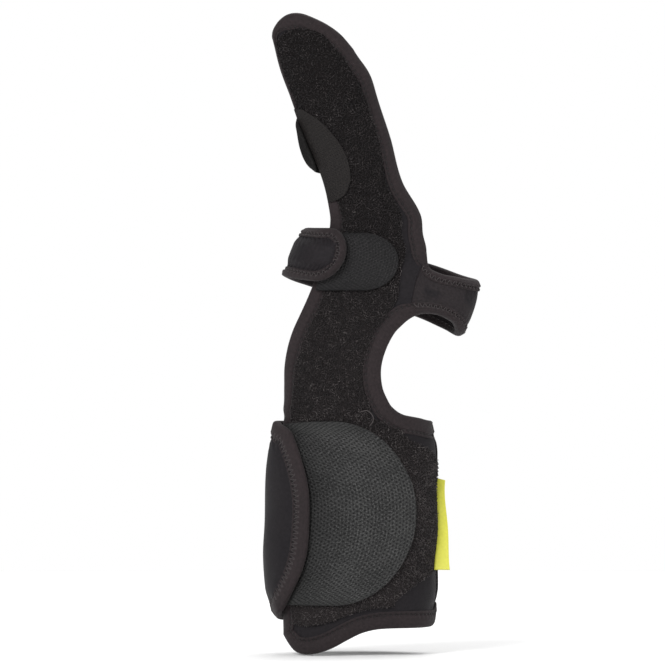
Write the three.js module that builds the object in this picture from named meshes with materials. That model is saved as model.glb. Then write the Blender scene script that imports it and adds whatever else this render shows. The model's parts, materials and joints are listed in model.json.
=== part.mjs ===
// A soft left-hand finger splint: a neoprene body that runs from the wrist cuff over the palm to a finger
// trough, a loop-pile facing on its front, and three straps with hook tabs.
// Millimetres. +Z runs from the cuff to the tip of the trough, the palm side faces -Y, the outer side is +X.
// The origin is the middle of the cuff's opening. Every soft piece is a sheet with a real wall thickness,
// shaped round a form that is described as a table of oval sections.
import * as THREE from "three";

const { lerp, clamp, degToRad, smoothstep } = THREE.MathUtils;

// Wall thicknesses and the clearance between layers
const SHELL = 2.6;
const STRAP = 2.6;
const FINGER_STRAP = 1.6;
const FACING = 0.9;
const HOOK = 0.9;
const TAPE = 0.7;
const GAP = 0.35;

// Height of each layer over the form
const FACING_LIFT = SHELL + GAP;
const HOOK_LIFT = FACING_LIFT + FACING + GAP;
const STRAP_LIFT = HOOK_LIFT + HOOK + GAP;

// Edge binding: how far the tape reaches in from the edge
const TAPE_WIDTH = 6;
const CUTOUT_TAPE_WIDTH = 7;
const CUTOUT = { low: 37, high: 83 };
const HAND_TAPE_WIDTH = 3.6;

// Wrist strap and its tab
const WRIST_LOW = -43.4;
const WRIST_HIGH = 38.6;
const WRIST_START = 90.9;
const WRIST_END = 326;
const WRIST_END_ROUND = 27;
const WRIST_END_SHIFT = 0.08;
const WRIST_CLIMB = { from: 205, to: 290 };
const WRIST_TAB = { middle: 0, half: 39.5, straight: -8, reach: 34.7, tuck: 11 };

// Palm tab of the hand strap
const HAND_TAB = { middle: 108, half: 12.4, straight: 4.5, reach: 15.5, from: -39 };
const HAND_ROOT = { high: 118.5, gap: 1.2, end: 1.3 };

// Finger strap and its tab
const FINGER_BAND = { middle: 165.5, half: 13.5, lean: 5.8, start: 63, end: 308, round: 30 };
const FINGER_CLIMB = { from: 256, to: 289 };
const FINGER_TAB = { middle: 154, half: 20.2, reach: 14.5, from: -63 };

// Woven side label, folded into the wrist seam
const LABEL = { low: -24.7, high: 15.9, reachLow: 6.6, reachHigh: 4.2, thick: 1 };

// Ends of the body, before its two end edges are shaped
const BODY_LOW = -48.4;
const BODY_HIGH = 201;
const FACING_LOW = -41.6;
const FACING_HIGH = 193.8;
const END_FADE = 24;

// Facets across and along each sheet
const GRID = {
  body: { across: 11, along: 46 },
  facing: { across: 12, along: 36 },
  wristStrap: { across: 8, along: 24 },
  wristTab: { across: 8, along: 16 },
  handStrap: { across: 6, along: 34 },
  handTab: { across: 5, along: 12 },
  fingerStrap: { across: 6, along: 26 },
  fingerTab: { across: 6, along: 12 },
};

// The form: oval sections with their centre line, half width, and depth to the palm side and to the back
const FORM = [
  { z: -64, centre: 3.6, halfWidth: 29.5, axis: 0, depth: 21, back: 21 },
  { z: -42, centre: 3.4, halfWidth: 29.7, axis: 0, depth: 21.2, back: 21.2 },
  { z: -20, centre: 2.2, halfWidth: 31.4, axis: 0, depth: 21.5, back: 21.5 },
  { z: 18, centre: 2.2, halfWidth: 31.4, axis: 0, depth: 21.5, back: 21.5 },
  { z: 40, centre: 2.4, halfWidth: 29.4, axis: 0, depth: 20.8, back: 20.8 },
  { z: 60, centre: 7, halfWidth: 35.5, axis: 0, depth: 21.3, back: 18 },
  { z: 84, centre: 10, halfWidth: 39, axis: -1, depth: 19.5, back: 14 },
  { z: 104, centre: 10, halfWidth: 34, axis: -2, depth: 16.8, back: 12 },
  { z: 122, centre: 9.5, halfWidth: 23, axis: -4, depth: 14.2, back: 10 },
  { z: 140, centre: 6, halfWidth: 17.8, axis: -6, depth: 13, back: 9 },
  { z: 165, centre: -2.6, halfWidth: 17.2, axis: -9.5, depth: 12.6, back: 9 },
  { z: 190, centre: -11.8, halfWidth: 17.2, axis: -14, depth: 12, back: 9 },
  { z: 218, centre: -21, halfWidth: 17.2, axis: -19, depth: 11.5, back: 9 },
];

// Side edges of the body, as seen from the front
const BODY_EDGES = [
  { z: -64, left: -28.6, right: 37 },
  { z: -42, left: -28.6, right: 37 },
  { z: -20, left: -30.6, right: 37 },
  { z: 18, left: -30.6, right: 37 },
  { z: 31, left: -29.9, right: 36 },
  { z: 37.4, left: -28.9, right: 33.4 },
  { z: 39.6, left: -28.6, right: 30.5 },
  { z: 41.4, left: -28.3, right: 22.4 },
  { z: 44.6, left: -28.5, right: 17.4 },
  { z: 48, left: -28.2, right: 15 },
  { z: 54, left: -27.8, right: 12.4 },
  { z: 62, left: -26.9, right: 11.7 },
  { z: 70, left: -25.5, right: 13.7 },
  { z: 78, left: -23.4, right: 18 },
  { z: 84.5, left: -21.1, right: 24 },
  { z: 100, left: -14.9, right: 27.2 },
  { z: 112, left: -10.2, right: 28.8 },
  { z: 120, left: -8.7, right: 28.7 },
  { z: 128, left: -8.6, right: 27.4 },
  { z: 142, left: -11.7, right: 20 },
  { z: 161, left: -18.6, right: 15.2 },
  { z: 179, left: -25.2, right: 8.6 },
  { z: 190, left: -29, right: 5 },
  { z: 201, left: -32.6, right: 0 },
  { z: 218, left: -38.4, right: -7 },
];

// How far the facing stops short of the body's side edges, along the cloth
const FACING_INSET = [
  { z: -50, left: 8.8, right: 34 },
  { z: -41, left: 8.8, right: 29 },
  { z: -37, left: 8.8, right: 23 },
  { z: -31, left: 8.8, right: 14 },
  { z: -26, left: 8.8, right: 6.5 },
  { z: -20, left: 8.8, right: 3 },
  { z: 17, left: 8.8, right: 3 },
  { z: 25.5, left: 8.8, right: 10 },
  { z: 32, left: 8.8, right: 26 },
  { z: 38, left: 8.8, right: 29 },
  { z: 43, left: 8.7, right: 17 },
  { z: 48, left: 8.6, right: 10.5 },
  { z: 56, left: 8.2, right: 9 },
  { z: 64, left: 8, right: 8.4 },
  { z: 75, left: 8, right: 9 },
  { z: 84, left: 8, right: 10.8 },
  { z: 93, left: 8, right: 8.6 },
  { z: 108, left: 7.8, right: 8.6 },
  { z: 122, left: 7.6, right: 9 },
  { z: 139, left: 7.6, right: 7.6 },
  { z: 158, left: 7.6, right: 7.6 },
  { z: 180, left: 7.8, right: 8.4 },
  { z: 190, left: 8.6, right: 12.5 },
  { z: 196, left: 9.6, right: 19 },
];

// Lower edge of the body: a lobe that hangs at the inner side
const BOTTOM_EDGE = [
  { x: -31, drop: 0 },
  { x: -28.6, drop: 3.6 },
  { x: -26, drop: 7.6 },
  { x: -23, drop: 10 },
  { x: -18.5, drop: 11 },
  { x: -14, drop: 10.4 },
  { x: -9, drop: 8 },
  { x: -3, drop: 4.7 },
  { x: 4.5, drop: 1.5 },
  { x: 13, drop: 0 },
  { x: 40, drop: 0 },
];

// Upper edge of the body: a rounded tip, fuller at the inner side
const TIP_EDGE = [
  { across: 0, rise: 3.6 },
  { across: 0.04, rise: 7.2 },
  { across: 0.1, rise: 10 },
  { across: 0.2, rise: 12 },
  { across: 0.34, rise: 12.4 },
  { across: 0.48, rise: 11.4 },
  { across: 0.62, rise: 9 },
  { across: 0.76, rise: 6 },
  { across: 0.9, rise: 2 },
  { across: 1, rise: -2.4 },
];

// Hand strap: its lower and upper edge, from the body's outer edge round the back to the palm side,
// and how far its middle puffs out
const HAND_STRAP = [
  { station: 0, xLow: 24.5, yLow: -17.5, zLow: 84.5, xHigh: 29, yHigh: -12, zHigh: 116, puff: 0 },
  { station: 1, xLow: 34, yLow: -15, zLow: 86.4, xHigh: 33, yHigh: -12.5, zHigh: 108.6, puff: 0 },
  { station: 2, xLow: 41.5, yLow: -9, zLow: 83, xHigh: 45, yHigh: -8.5, zHigh: 101, puff: 0.3 },
  { station: 3, xLow: 42.4, yLow: 0, zLow: 78, xHigh: 50.4, yHigh: 0.5, zHigh: 98.8, puff: 0.5 },
  { station: 4, xLow: 37.5, yLow: 9, zLow: 80.5, xHigh: 45, yHigh: 9.5, zHigh: 101.5, puff: 0.3 },
  { station: 5, xLow: 28, yLow: 14, zLow: 85.5, xHigh: 33.5, yHigh: 14.5, zHigh: 106.6, puff: 0 },
  { station: 6, xLow: 11.5, yLow: 16, zLow: 90.6, xHigh: 13, yHigh: 16.2, zHigh: 112, puff: 0 },
  { station: 7, xLow: -7, yLow: 14.5, zLow: 95.6, xHigh: -7.5, yHigh: 14.5, zHigh: 117, puff: 0 },
  { station: 8, xLow: -18.5, yLow: 8.5, zLow: 99, xHigh: -16.5, yHigh: 9, zHigh: 119.8, puff: 0.8 },
  { station: 9, xLow: -24.6, yLow: 0, zLow: 101.2, xHigh: -18.6, yHigh: 1.5, zHigh: 121, puff: 2 },
  { station: 10, xLow: -23.6, yLow: -9, zLow: 101.2, xHigh: -17.6, yHigh: -8, zHigh: 121.4, puff: 2.4 },
  { station: 11, xLow: -16.5, yLow: -17.5, zLow: 100.4, xHigh: -13.5, yHigh: -15.5, zHigh: 121.5, puff: 1.6 },
  { station: 12, xLow: -5, yLow: -22, zLow: 100.2, xHigh: -5, yHigh: -20, zHigh: 121.5, puff: 1 },
];
const HAND_WEB = 9.4;
const HAND_LANDED = 10.6;
const HAND_END = 12;
const HAND_END_ROUND = 1.2;
const HAND_TAB_ANGLES = { from: -66, to: -18 };

// Reads a column of a table at a place between its rows, on a smooth curve through them.
function at(table, key, place, column) {
  const last = table.length - 1;
  let i = 0;
  while (i < last - 1 && table[i + 1][key] < place) i++;
  const slope = (row) => {
    const before = table[Math.max(row - 1, 0)];
    const after = table[Math.min(row + 1, last)];
    return (after[column] - before[column]) / (after[key] - before[key]);
  };
  const [a, b] = [table[i], table[i + 1]];
  const step = b[key] - a[key];
  const t = clamp((place - a[key]) / step, 0, 1);
  const [t2, t3] = [t * t, t * t * t];
  return (
    (2 * t3 - 3 * t2 + 1) * a[column] +
    (t3 - 2 * t2 + t) * step * slope(i) +
    (3 * t2 - 2 * t3) * b[column] +
    (t3 - t2) * step * slope(i + 1)
  );
}

// A point over the form. Angle 0 faces the palm side, 90 degrees the outer side and 180 the back.
function formPoint(angle, z, lift) {
  const turn = degToRad(angle);
  const [across, front] = [Math.sin(turn), Math.cos(turn)];
  const wide = at(FORM, "z", z, "halfWidth");
  const deep = at(FORM, "z", z, front > 0 ? "depth" : "back");
  const outward = new THREE.Vector2(across / wide, -front / deep).normalize();
  return new THREE.Vector3(
    at(FORM, "z", z, "centre") + wide * across + lift * outward.x,
    at(FORM, "z", z, "axis") - deep * front + lift * outward.y,
    z,
  );
}

// The angle at which the body's outer face shows at x, seen from the front.
function angleAt(x, z) {
  const reach = at(FORM, "z", z, "halfWidth") + SHELL;
  return THREE.MathUtils.radToDeg(Math.asin(clamp((x - at(FORM, "z", z, "centre")) / reach, -1, 1)));
}

// Where a place on the body lies on the form, as [angle, z]. Both shares run from 0 to 1.
function bodyPlace(across, along) {
  const level = lerp(BODY_LOW, BODY_HIGH, along);
  const left = angleAt(at(BODY_EDGES, "z", level, "left"), level);
  const right = angleAt(at(BODY_EDGES, "z", level, "right"), level);
  const angle = lerp(left, right, across);
  const x = formPoint(angle, level, SHELL).x;
  const drop = at(BOTTOM_EDGE, "x", x, "drop") * (1 - smoothstep(level - BODY_LOW, 0, END_FADE));
  const rise = at(TIP_EDGE, "across", across, "rise") * (1 - smoothstep(BODY_HIGH - level, 0, END_FADE));
  return [angle, level - drop + rise];
}
const bodyShare = (z) => (z - BODY_LOW) / (BODY_HIGH - BODY_LOW);
const bodySheet = (across, along, lift) => formPoint(...bodyPlace(across, along), lift);

// Width of the body along the cloth.
function bodyWidth(along) {
  const steps = 8;
  let width = 0;
  for (let i = 0; i < steps; i++) {
    width += bodySheet(i / steps, along, SHELL).distanceTo(bodySheet((i + 1) / steps, along, SHELL));
  }
  return width;
}

// The facing lies on the body, short of its edges.
function facingSheet(across, along, lift) {
  const z = lerp(FACING_LOW, FACING_HIGH, along);
  const width = bodyWidth(bodyShare(z));
  const left = at(FACING_INSET, "z", z, "left") / width;
  const right = at(FACING_INSET, "z", z, "right") / width;
  return bodySheet(lerp(left, 1 - right, across), bodyShare(z), lift);
}

// A hook tab on the palm side: a D whose round end points to the outer side.
function tabSheet({ middle, half }, fromAngle, toAngle) {
  return (across, along, lift) => {
    const z = middle + half * (2 * along - 1);
    return formPoint(lerp(fromAngle(z), toAngle(z), across), z, lift);
  };
}

// Width of a half oval of the given half height, as a share of its reach.
const oval = (offset, half) => Math.sqrt(Math.max(0, 1 - (offset / half) ** 2));

const wristEnd = (share) => WRIST_END - WRIST_END_ROUND * Math.abs(2 * share - 1 - WRIST_END_SHIFT) ** 3;
const wristTabSheet = tabSheet(
  WRIST_TAB,
  (z) => wristEnd((z - WRIST_LOW) / (WRIST_HIGH - WRIST_LOW)) - 360 - WRIST_TAB.tuck,
  (z) => angleAt(WRIST_TAB.straight + WRIST_TAB.reach * oval(z - WRIST_TAB.middle, WRIST_TAB.half), z),
);
const handTabSheet = tabSheet(
  HAND_TAB,
  () => HAND_TAB.from,
  (z) => angleAt(HAND_TAB.straight + HAND_TAB.reach * oval(z - HAND_TAB.middle, HAND_TAB.half), z),
);
const fingerTabSheet = tabSheet(
  FINGER_TAB,
  () => FINGER_TAB.from,
  (z) => {
    const edge = at(BODY_EDGES, "z", z, "left");
    return angleAt(edge + FINGER_TAB.reach * oval(z - FINGER_TAB.middle, FINGER_TAB.half), z);
  },
);

// Wrist strap: from the seam at the outer side round the back, climbing over the body to its tab.
function wristWrap(angle, z, lift) {
  const climb = STRAP_LIFT * smoothstep(angle, WRIST_CLIMB.from, WRIST_CLIMB.to);
  return formPoint(angle, z, climb + lift);
}
function wristPlace(along, across) {
  return [lerp(WRIST_START, wristEnd(across), along), lerp(WRIST_LOW, WRIST_HIGH, across)];
}

// Finger strap: round the back of the trough, square to its lean, climbing over the body to its tab.
function fingerWrap(angle, z, lift) {
  const climb = STRAP_LIFT * smoothstep(angle, FINGER_CLIMB.from, FINGER_CLIMB.to);
  return formPoint(angle, z, climb + lift);
}
function fingerPlace(along, across) {
  const { middle, half, lean, start, end, round } = FINGER_BAND;
  const angle = lerp(start, end - round * Math.abs(2 * across - 1) ** 3, along);
  return [angle, middle + half * (2 * across - 1) + lean * Math.sin(degToRad(angle))];
}

// Hand strap: leaves the body's outer edge, follows its two edges round the back and ends on the palm side.
function handRail(station, across) {
  const read = (column) => at(HAND_STRAP, "station", station, column);
  const low = new THREE.Vector3(read("xLow"), read("yLow"), read("zLow"));
  const high = new THREE.Vector3(read("xHigh"), read("yHigh"), read("zHigh"));
  return low.lerp(high, across);
}
function handWrap(station, across, lift) {
  const middle = Math.max(0, 1 - (2 * across - 1) ** 2);
  const outer = lift + (lift / STRAP) * middle * at(HAND_STRAP, "station", station, "puff");
  const step = 0.01;
  const ahead = handRail(station + step, across).sub(handRail(station - step, across));
  const upward = handRail(station, across + step).sub(handRail(station, across - step));
  const path = handRail(station, across);
  const { z } = path;
  path.addScaledVector(ahead.cross(upward).normalize(), outer);
  const edge = angleAt(at(BODY_EDGES, "z", z, "right"), z) + HAND_ROOT.gap;
  const root = formPoint(edge, z, lift);
  const onPalm = (station - HAND_WEB) / (HAND_END - HAND_WEB);
  const tab = formPoint(lerp(HAND_TAB_ANGLES.from, HAND_TAB_ANGLES.to, onPalm), z, STRAP_LIFT + outer);
  return path
    .lerp(root, 1 - smoothstep(station, 0, HAND_ROOT.end))
    .lerp(tab, smoothstep(station, HAND_WEB, HAND_LANDED));
}
function handPlace(along, across) {
  const round = HAND_END_ROUND * (1 - oval(2 * across - 1, 1));
  return [along * (HAND_END - round), across];
}

// Closes rings of points into a solid: neighbours in a ring and in neighbouring rings are joined, each four
// across their shorter diagonal, and both end rings are closed by the triangles of the cap.
function loft(rings, cap) {
  const count = rings[0].length;
  const index = [];
  for (let i = 0; i + 1 < rings.length; i++) {
    for (let j = 0; j < count; j++) {
      const next = (j + 1) % count;
      const [a, b] = [i * count + j, i * count + next];
      const [c, d] = [a + count, b + count];
      const forward = rings[i][j].distanceTo(rings[i + 1][next]);
      const backward = rings[i][next].distanceTo(rings[i + 1][j]);
      if (forward < backward) index.push(a, b, d, a, d, c);
      else index.push(a, b, c, b, d, c);
    }
  }
  const last = (rings.length - 1) * count;
  for (const [p, q, r] of cap) {
    index.push(p, r, q);
    index.push(last + p, last + q, last + r);
  }
  const places = rings.flat().flatMap((point) => [point.x, point.y, point.z]);
  const geometry = new THREE.BufferGeometry();
  geometry.setAttribute("position", new THREE.Float32BufferAttribute(places, 3));
  geometry.setIndex(index);
  geometry.computeVertexNormals();
  return geometry;
}

// A sheet as a solid between two lifts, on rows and columns given as shares.
function sheetGeometry(surface, acrossShares, alongShares, lowLift, highLift) {
  const columns = acrossShares.length - 1;
  const rings = alongShares.map((along) => [
    ...acrossShares.map((across) => surface(across, along, highLift)),
    ...acrossShares.toReversed().map((across) => surface(across, along, lowLift)),
  ]);
  const cap = [];
  for (let i = 0; i < columns; i++) {
    const [outer, inner] = [i, 2 * columns + 1 - i];
    cap.push([outer, outer + 1, inner - 1], [outer, inner - 1, inner]);
  }
  return loft(rings, cap);
}

const evenShares = (count) => Array.from({ length: count + 1 }, (_, i) => i / count);
const roundShares = (count) => evenShares(count).map((share) => (1 - Math.cos(Math.PI * share)) / 2);
const edgedShares = (count) => roundShares(count).map((share, i) => (share + i / count) / 2);

// Shares along a palm sheet that crowd where its edges run out sideways.
function edgeShares(surface, count) {
  const fine = 600;
  const lengths = [0];
  for (let i = 1; i <= fine; i++) {
    const steps = [0, 1].map((side) =>
      surface(side, i / fine, SHELL).distanceTo(surface(side, (i - 1) / fine, SHELL)),
    );
    lengths.push(lengths[i - 1] + Math.max(...steps));
  }
  return evenShares(count).map((share) => {
    const goal = share * lengths[fine];
    const i = clamp(lengths.findIndex((length) => length >= goal), 1, fine);
    const part = (goal - lengths[i - 1]) / (lengths[i] - lengths[i - 1]);
    return (i - 1 + part) / fine;
  });
}

// Tape folded over the edge of a sheet. The path holds places on the wrapped surface, with the sheet on its
// left; the tape covers the outer face and the cut edge.
function bindingGeometry(surface, path, wall, width) {
  const nudge = 1e-3;
  const rings = path.map(([u, v], i) => {
    const here = surface(u, v, wall);
    const du = surface(u + nudge, v, wall).sub(here).divideScalar(nudge);
    const dv = surface(u, v + nudge, wall).sub(here).divideScalar(nudge);
    const outward = new THREE.Vector3().crossVectors(du, dv).normalize();
    const [from, to] = [path[Math.max(i - 1, 0)], path[Math.min(i + 1, path.length - 1)]];
    const ahead = surface(to[0], to[1], wall).sub(surface(from[0], from[1], wall)).normalize();
    const inward = new THREE.Vector3().crossVectors(outward, ahead);
    const [uu, uv, vv] = [du.dot(du), du.dot(dv), dv.dot(dv)];
    const [iu, iv] = [inward.dot(du), inward.dot(dv)];
    const scale = uu * vv - uv * uv;
    const [su, sv] = [(iu * vv - iv * uv) / scale, (iv * uu - iu * uv) / scale];
    const place = (depth, lift) => surface(u + su * depth, v + sv * depth, lift);
    const [under, over] = [wall + GAP, wall + GAP + TAPE];
    return [
      place(width, over),
      place(width / 2, over),
      place(0, over),
      place(-GAP - TAPE, under),
      place(-GAP - TAPE, 0),
      place(-GAP, 0),
      place(-GAP, under),
      place(width / 2, under),
      place(width, under),
    ];
  });
  const cap = [
    [0, 1, 7],
    [0, 7, 8],
    [1, 2, 6],
    [1, 6, 7],
    [2, 3, 6],
    [3, 4, 5],
    [3, 5, 6],
  ];
  return loft(rings, cap);
}

const finishes = {
  neoprene: { color: 0x302d31, roughness: 0.75 },
  loopPile: { color: 0x272426, roughness: 1 },
  hook: { color: 0x3f3f3f, roughness: 0.6 },
  binding: { color: 0x383234, roughness: 0.85 },
  label: { color: 0xd8d640, roughness: 0.6 },
};

function piece(name, finish, geometry) {
  const material = new THREE.MeshStandardMaterial({ metalness: 0, ...finishes[finish] });
  const mesh = new THREE.Mesh(geometry, material);
  mesh.name = name;
  return mesh;
}

// The label is a flat fold of ribbon that stands out of the seam at the outer side of the cuff.
function labelGeometry() {
  const seam = formPoint(90, 0, SHELL + GAP).x;
  const outline = new THREE.Shape([
    new THREE.Vector2(seam, LABEL.low),
    new THREE.Vector2(seam + LABEL.reachLow, LABEL.low),
    new THREE.Vector2(seam + LABEL.reachHigh, LABEL.high),
    new THREE.Vector2(seam, LABEL.high),
  ]);
  const flat = new THREE.ExtrudeGeometry(outline, { depth: LABEL.thick, bevelEnabled: false });
  return flat.rotateX(Math.PI / 2);
}

const splint = new THREE.Group();
splint.name = "finger_splint";

const bodyRows = edgeShares(bodySheet, GRID.body.along);
const bodyColumns = edgedShares(GRID.body.across);
const facingRows = edgeShares(facingSheet, GRID.facing.along);
const facingColumns = evenShares(GRID.facing.across);
splint.add(
  piece("body_shell", "neoprene", sheetGeometry(bodySheet, bodyColumns, bodyRows, 0, SHELL)),
  piece(
    "loop_facing",
    "loopPile",
    sheetGeometry(facingSheet, facingColumns, facingRows, FACING_LIFT, FACING_LIFT + FACING),
  ),
);

// One tape runs up the trough from the hand strap, round the tip, down the inner side and along the bottom.
const upFinger = bodyRows.filter((share) => share > bodyShare(HAND_ROOT.high));
const bodyRim = [
  ...upFinger.map((along) => [1, along]),
  ...bodyColumns.toReversed().slice(1).map((across) => [across, 1]),
  ...bodyRows.toReversed().slice(1).map((along) => [0, along]),
  ...bodyColumns.slice(1, -1).map((across) => [across, 0]),
].map(([across, along]) => bodyPlace(across, along));
const cutoutRim = bodyRows
  .filter((share) => share > bodyShare(CUTOUT.low) && share < bodyShare(CUTOUT.high))
  .map((along) => bodyPlace(1, along));
splint.add(
  piece("body_binding", "binding", bindingGeometry(formPoint, bodyRim, SHELL, TAPE_WIDTH)),
  piece("cutout_binding", "binding", bindingGeometry(formPoint, cutoutRim, SHELL, CUTOUT_TAPE_WIDTH)),
);

// The edges of a strap, from its root along the lower edge, round its end and back along the upper edge.
function strapRim(place, alongShares, acrossShares) {
  return [
    ...alongShares.slice(1).map((along) => place(along, 0)),
    ...acrossShares.slice(1).map((across) => place(1, across)),
    ...alongShares.toReversed().slice(1, -1).map((along) => place(along, 1)),
  ];
}
// A strap as a solid that runs lengthwise.
function strapGeometry(wrap, place, acrossShares, alongShares, wall) {
  const surface = (across, along, lift) => wrap(...place(along, 1 - across), lift);
  return sheetGeometry(surface, acrossShares, alongShares, 0, wall);
}
// A hook tab as a solid, with its rows crowded at its round ends.
function tabGeometry(surface, { across, along }) {
  return sheetGeometry(surface, evenShares(across), roundShares(along), HOOK_LIFT, HOOK_LIFT + HOOK);
}

const wristRows = evenShares(GRID.wristStrap.along);
const wristColumns = roundShares(GRID.wristStrap.across);
const wristRim = strapRim(wristPlace, wristRows, wristColumns);
splint.add(
  piece("wrist_strap", "neoprene", strapGeometry(wristWrap, wristPlace, wristColumns, wristRows, STRAP)),
  piece("wrist_strap_binding", "binding", bindingGeometry(wristWrap, wristRim, STRAP, TAPE_WIDTH)),
  piece("wrist_hook_tab", "hook", tabGeometry(wristTabSheet, GRID.wristTab)),
);

const handRows = evenShares(GRID.handStrap.along);
const handColumns = roundShares(GRID.handStrap.across);
const handRim = strapRim(handPlace, handRows, handColumns).slice(1, -1);
splint.add(
  piece("hand_strap", "neoprene", strapGeometry(handWrap, handPlace, handColumns, handRows, STRAP)),
  piece("hand_strap_binding", "binding", bindingGeometry(handWrap, handRim, STRAP, HAND_TAPE_WIDTH)),
  piece("hand_hook_tab", "hook", tabGeometry(handTabSheet, GRID.handTab)),
);

const fingerRows = evenShares(GRID.fingerStrap.along);
const fingerColumns = roundShares(GRID.fingerStrap.across);
splint.add(
  piece(
    "finger_strap",
    "neoprene",
    strapGeometry(fingerWrap, fingerPlace, fingerColumns, fingerRows, FINGER_STRAP),
  ),
  piece("finger_hook_tab", "hook", tabGeometry(fingerTabSheet, GRID.fingerTab)),
  piece("side_label", "label", labelGeometry()),
);

export default splint;
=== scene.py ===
# %% [markdown]
# # A soft finger splint, sewn piece by piece
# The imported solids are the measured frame: a foam-rubber body from the cuff to the tip of the trough, a
# loop-pile facing, and three straps with hook tabs. Plain solids show no pile, hem or stitch, so each one
# is replaced by a sewn piece in the same place. The pieces are worked out in millimetres over one shared
# form, as a pattern cutter would, and turned into metres when their meshes are made.

# %% Load the frame and keep its box
import json

import bpy
import numpy as np
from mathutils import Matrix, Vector

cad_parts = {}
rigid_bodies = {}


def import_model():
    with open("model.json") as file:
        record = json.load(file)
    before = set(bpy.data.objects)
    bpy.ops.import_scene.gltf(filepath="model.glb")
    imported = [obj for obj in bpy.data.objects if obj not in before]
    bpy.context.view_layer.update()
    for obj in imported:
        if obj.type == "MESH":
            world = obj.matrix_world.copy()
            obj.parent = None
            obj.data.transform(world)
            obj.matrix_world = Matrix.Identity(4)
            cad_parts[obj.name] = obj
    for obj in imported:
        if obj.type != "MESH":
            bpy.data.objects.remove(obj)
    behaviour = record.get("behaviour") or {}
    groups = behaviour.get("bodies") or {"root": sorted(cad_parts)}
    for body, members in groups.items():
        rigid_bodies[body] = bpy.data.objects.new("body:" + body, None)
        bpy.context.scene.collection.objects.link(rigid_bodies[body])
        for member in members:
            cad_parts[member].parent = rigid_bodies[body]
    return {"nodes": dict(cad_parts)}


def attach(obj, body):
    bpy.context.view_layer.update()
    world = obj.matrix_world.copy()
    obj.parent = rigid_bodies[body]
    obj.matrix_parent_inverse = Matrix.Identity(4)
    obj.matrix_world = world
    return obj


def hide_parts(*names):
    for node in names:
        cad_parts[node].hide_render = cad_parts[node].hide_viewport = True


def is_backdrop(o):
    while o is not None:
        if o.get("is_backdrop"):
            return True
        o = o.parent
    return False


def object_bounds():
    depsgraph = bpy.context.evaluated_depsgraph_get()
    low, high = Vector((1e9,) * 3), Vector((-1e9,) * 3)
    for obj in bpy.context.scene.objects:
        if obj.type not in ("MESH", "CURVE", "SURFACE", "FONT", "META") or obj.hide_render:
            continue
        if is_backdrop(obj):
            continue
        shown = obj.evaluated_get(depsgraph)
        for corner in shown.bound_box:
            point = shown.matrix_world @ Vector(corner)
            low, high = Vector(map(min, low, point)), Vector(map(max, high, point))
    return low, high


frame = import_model()
cad_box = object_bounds()
MM = 0.001
CM = 0.01
print("frame:", len(frame["nodes"]), "solids, box in mm:", [[round(v / MM, 1) for v in c] for c in cad_box])

# %% [markdown]
# ## Camera, floor and light
# The picture is square and looks straight at the front, so the camera looks along +Y. A long lens from
# far away keeps the sides nearly parallel. Its focal length follows from the width that one pixel covers.
# A pale floor and a white surround give a plain studio. One large lamp at the upper left models the folds,
# a weaker one at the right opens the shadows, and a lamp overhead lights the floor and the back.

# %% Camera
PIXEL = 0.43
PICTURE_PIXELS = 665
PICTURE_WIDTH = PICTURE_PIXELS * PIXEL
VIEW_MIDDLE = (-8.4, 77.6)
FRONT_PLANE = -14.0
DISTANCE = 2600.0
SENSOR = 36.0

camera = bpy.data.objects.new("camera", bpy.data.cameras.new("camera"))
camera.data.sensor_width = SENSOR
camera.data.lens = SENSOR * DISTANCE / PICTURE_WIDTH
camera.location = Vector((VIEW_MIDDLE[0], FRONT_PLANE - DISTANCE, VIEW_MIDDLE[1])) * MM
camera.rotation_euler = (np.pi / 2, 0, 0)
bpy.context.scene.collection.objects.link(camera)
bpy.context.scene.camera = camera
bpy.context.scene.view_settings.view_transform = "Standard"
print("camera: focal length", round(camera.data.lens), "mm at", DISTANCE * MM, "m")


# %% Lamps and surround
TARGET = Vector((0.0, 0.0, 0.08))
LAMPS = {
    "key_lamp": {"place": (-1.0, -1.7, 1.25), "size": 1.1, "power": 46.0},
    "fill_lamp": {"place": (1.5, -1.5, 0.5), "size": 1.4, "power": 15.0},
    "top_lamp": {"place": (0.3, 0.7, 2.0), "size": 1.6, "power": 34.0},
}
SURROUND_SEEN = 1.0
SURROUND_LIGHT = 0.42

for name, lamp in LAMPS.items():
    light = bpy.data.lights.new(name, "AREA")
    light.size = lamp["size"]
    light.energy = lamp["power"]
    holder = bpy.data.objects.new(name, light)
    holder.location = lamp["place"]
    holder.rotation_euler = (TARGET - holder.location).to_track_quat("-Z", "Y").to_euler()
    holder.visible_camera = False
    bpy.context.scene.collection.objects.link(holder)

world = bpy.data.worlds.new("surround")
world.use_nodes = True
bpy.context.scene.world = world
light_path = world.node_tree.nodes.new("ShaderNodeLightPath")
brightness = world.node_tree.nodes.new("ShaderNodeMapRange")
brightness.inputs["To Min"].default_value = SURROUND_LIGHT
brightness.inputs["To Max"].default_value = SURROUND_SEEN
background = world.node_tree.nodes["Background"]
background.inputs["Color"].default_value = (1, 1, 1, 1)
world.node_tree.links.new(light_path.outputs["Is Camera Ray"], brightness.inputs["Value"])
world.node_tree.links.new(brightness.outputs["Result"], background.inputs["Strength"])
print("lamps:", ", ".join(LAMPS))

# %% [markdown]
# ## The form
# All soft pieces lie over the same body shape. It is a table of oval sections with a centre line, a half
# width and a depth to each side. A place on it is an angle and a height: angle 0 faces the front,
# 90 degrees the outer side and 180 the back. Layers stack up by their lift over the form. The numbers stay
# close to those of the solids, so every sewn piece lands where its solid is. Working on whole arrays of
# places at once keeps dense cloth quick to build.


# %% Reading tables
def table(columns, rows):
    """A table with named columns. The first column is the key that the rows are sorted by."""
    return dict(zip(columns.split(), np.array(rows, float).T))


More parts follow.
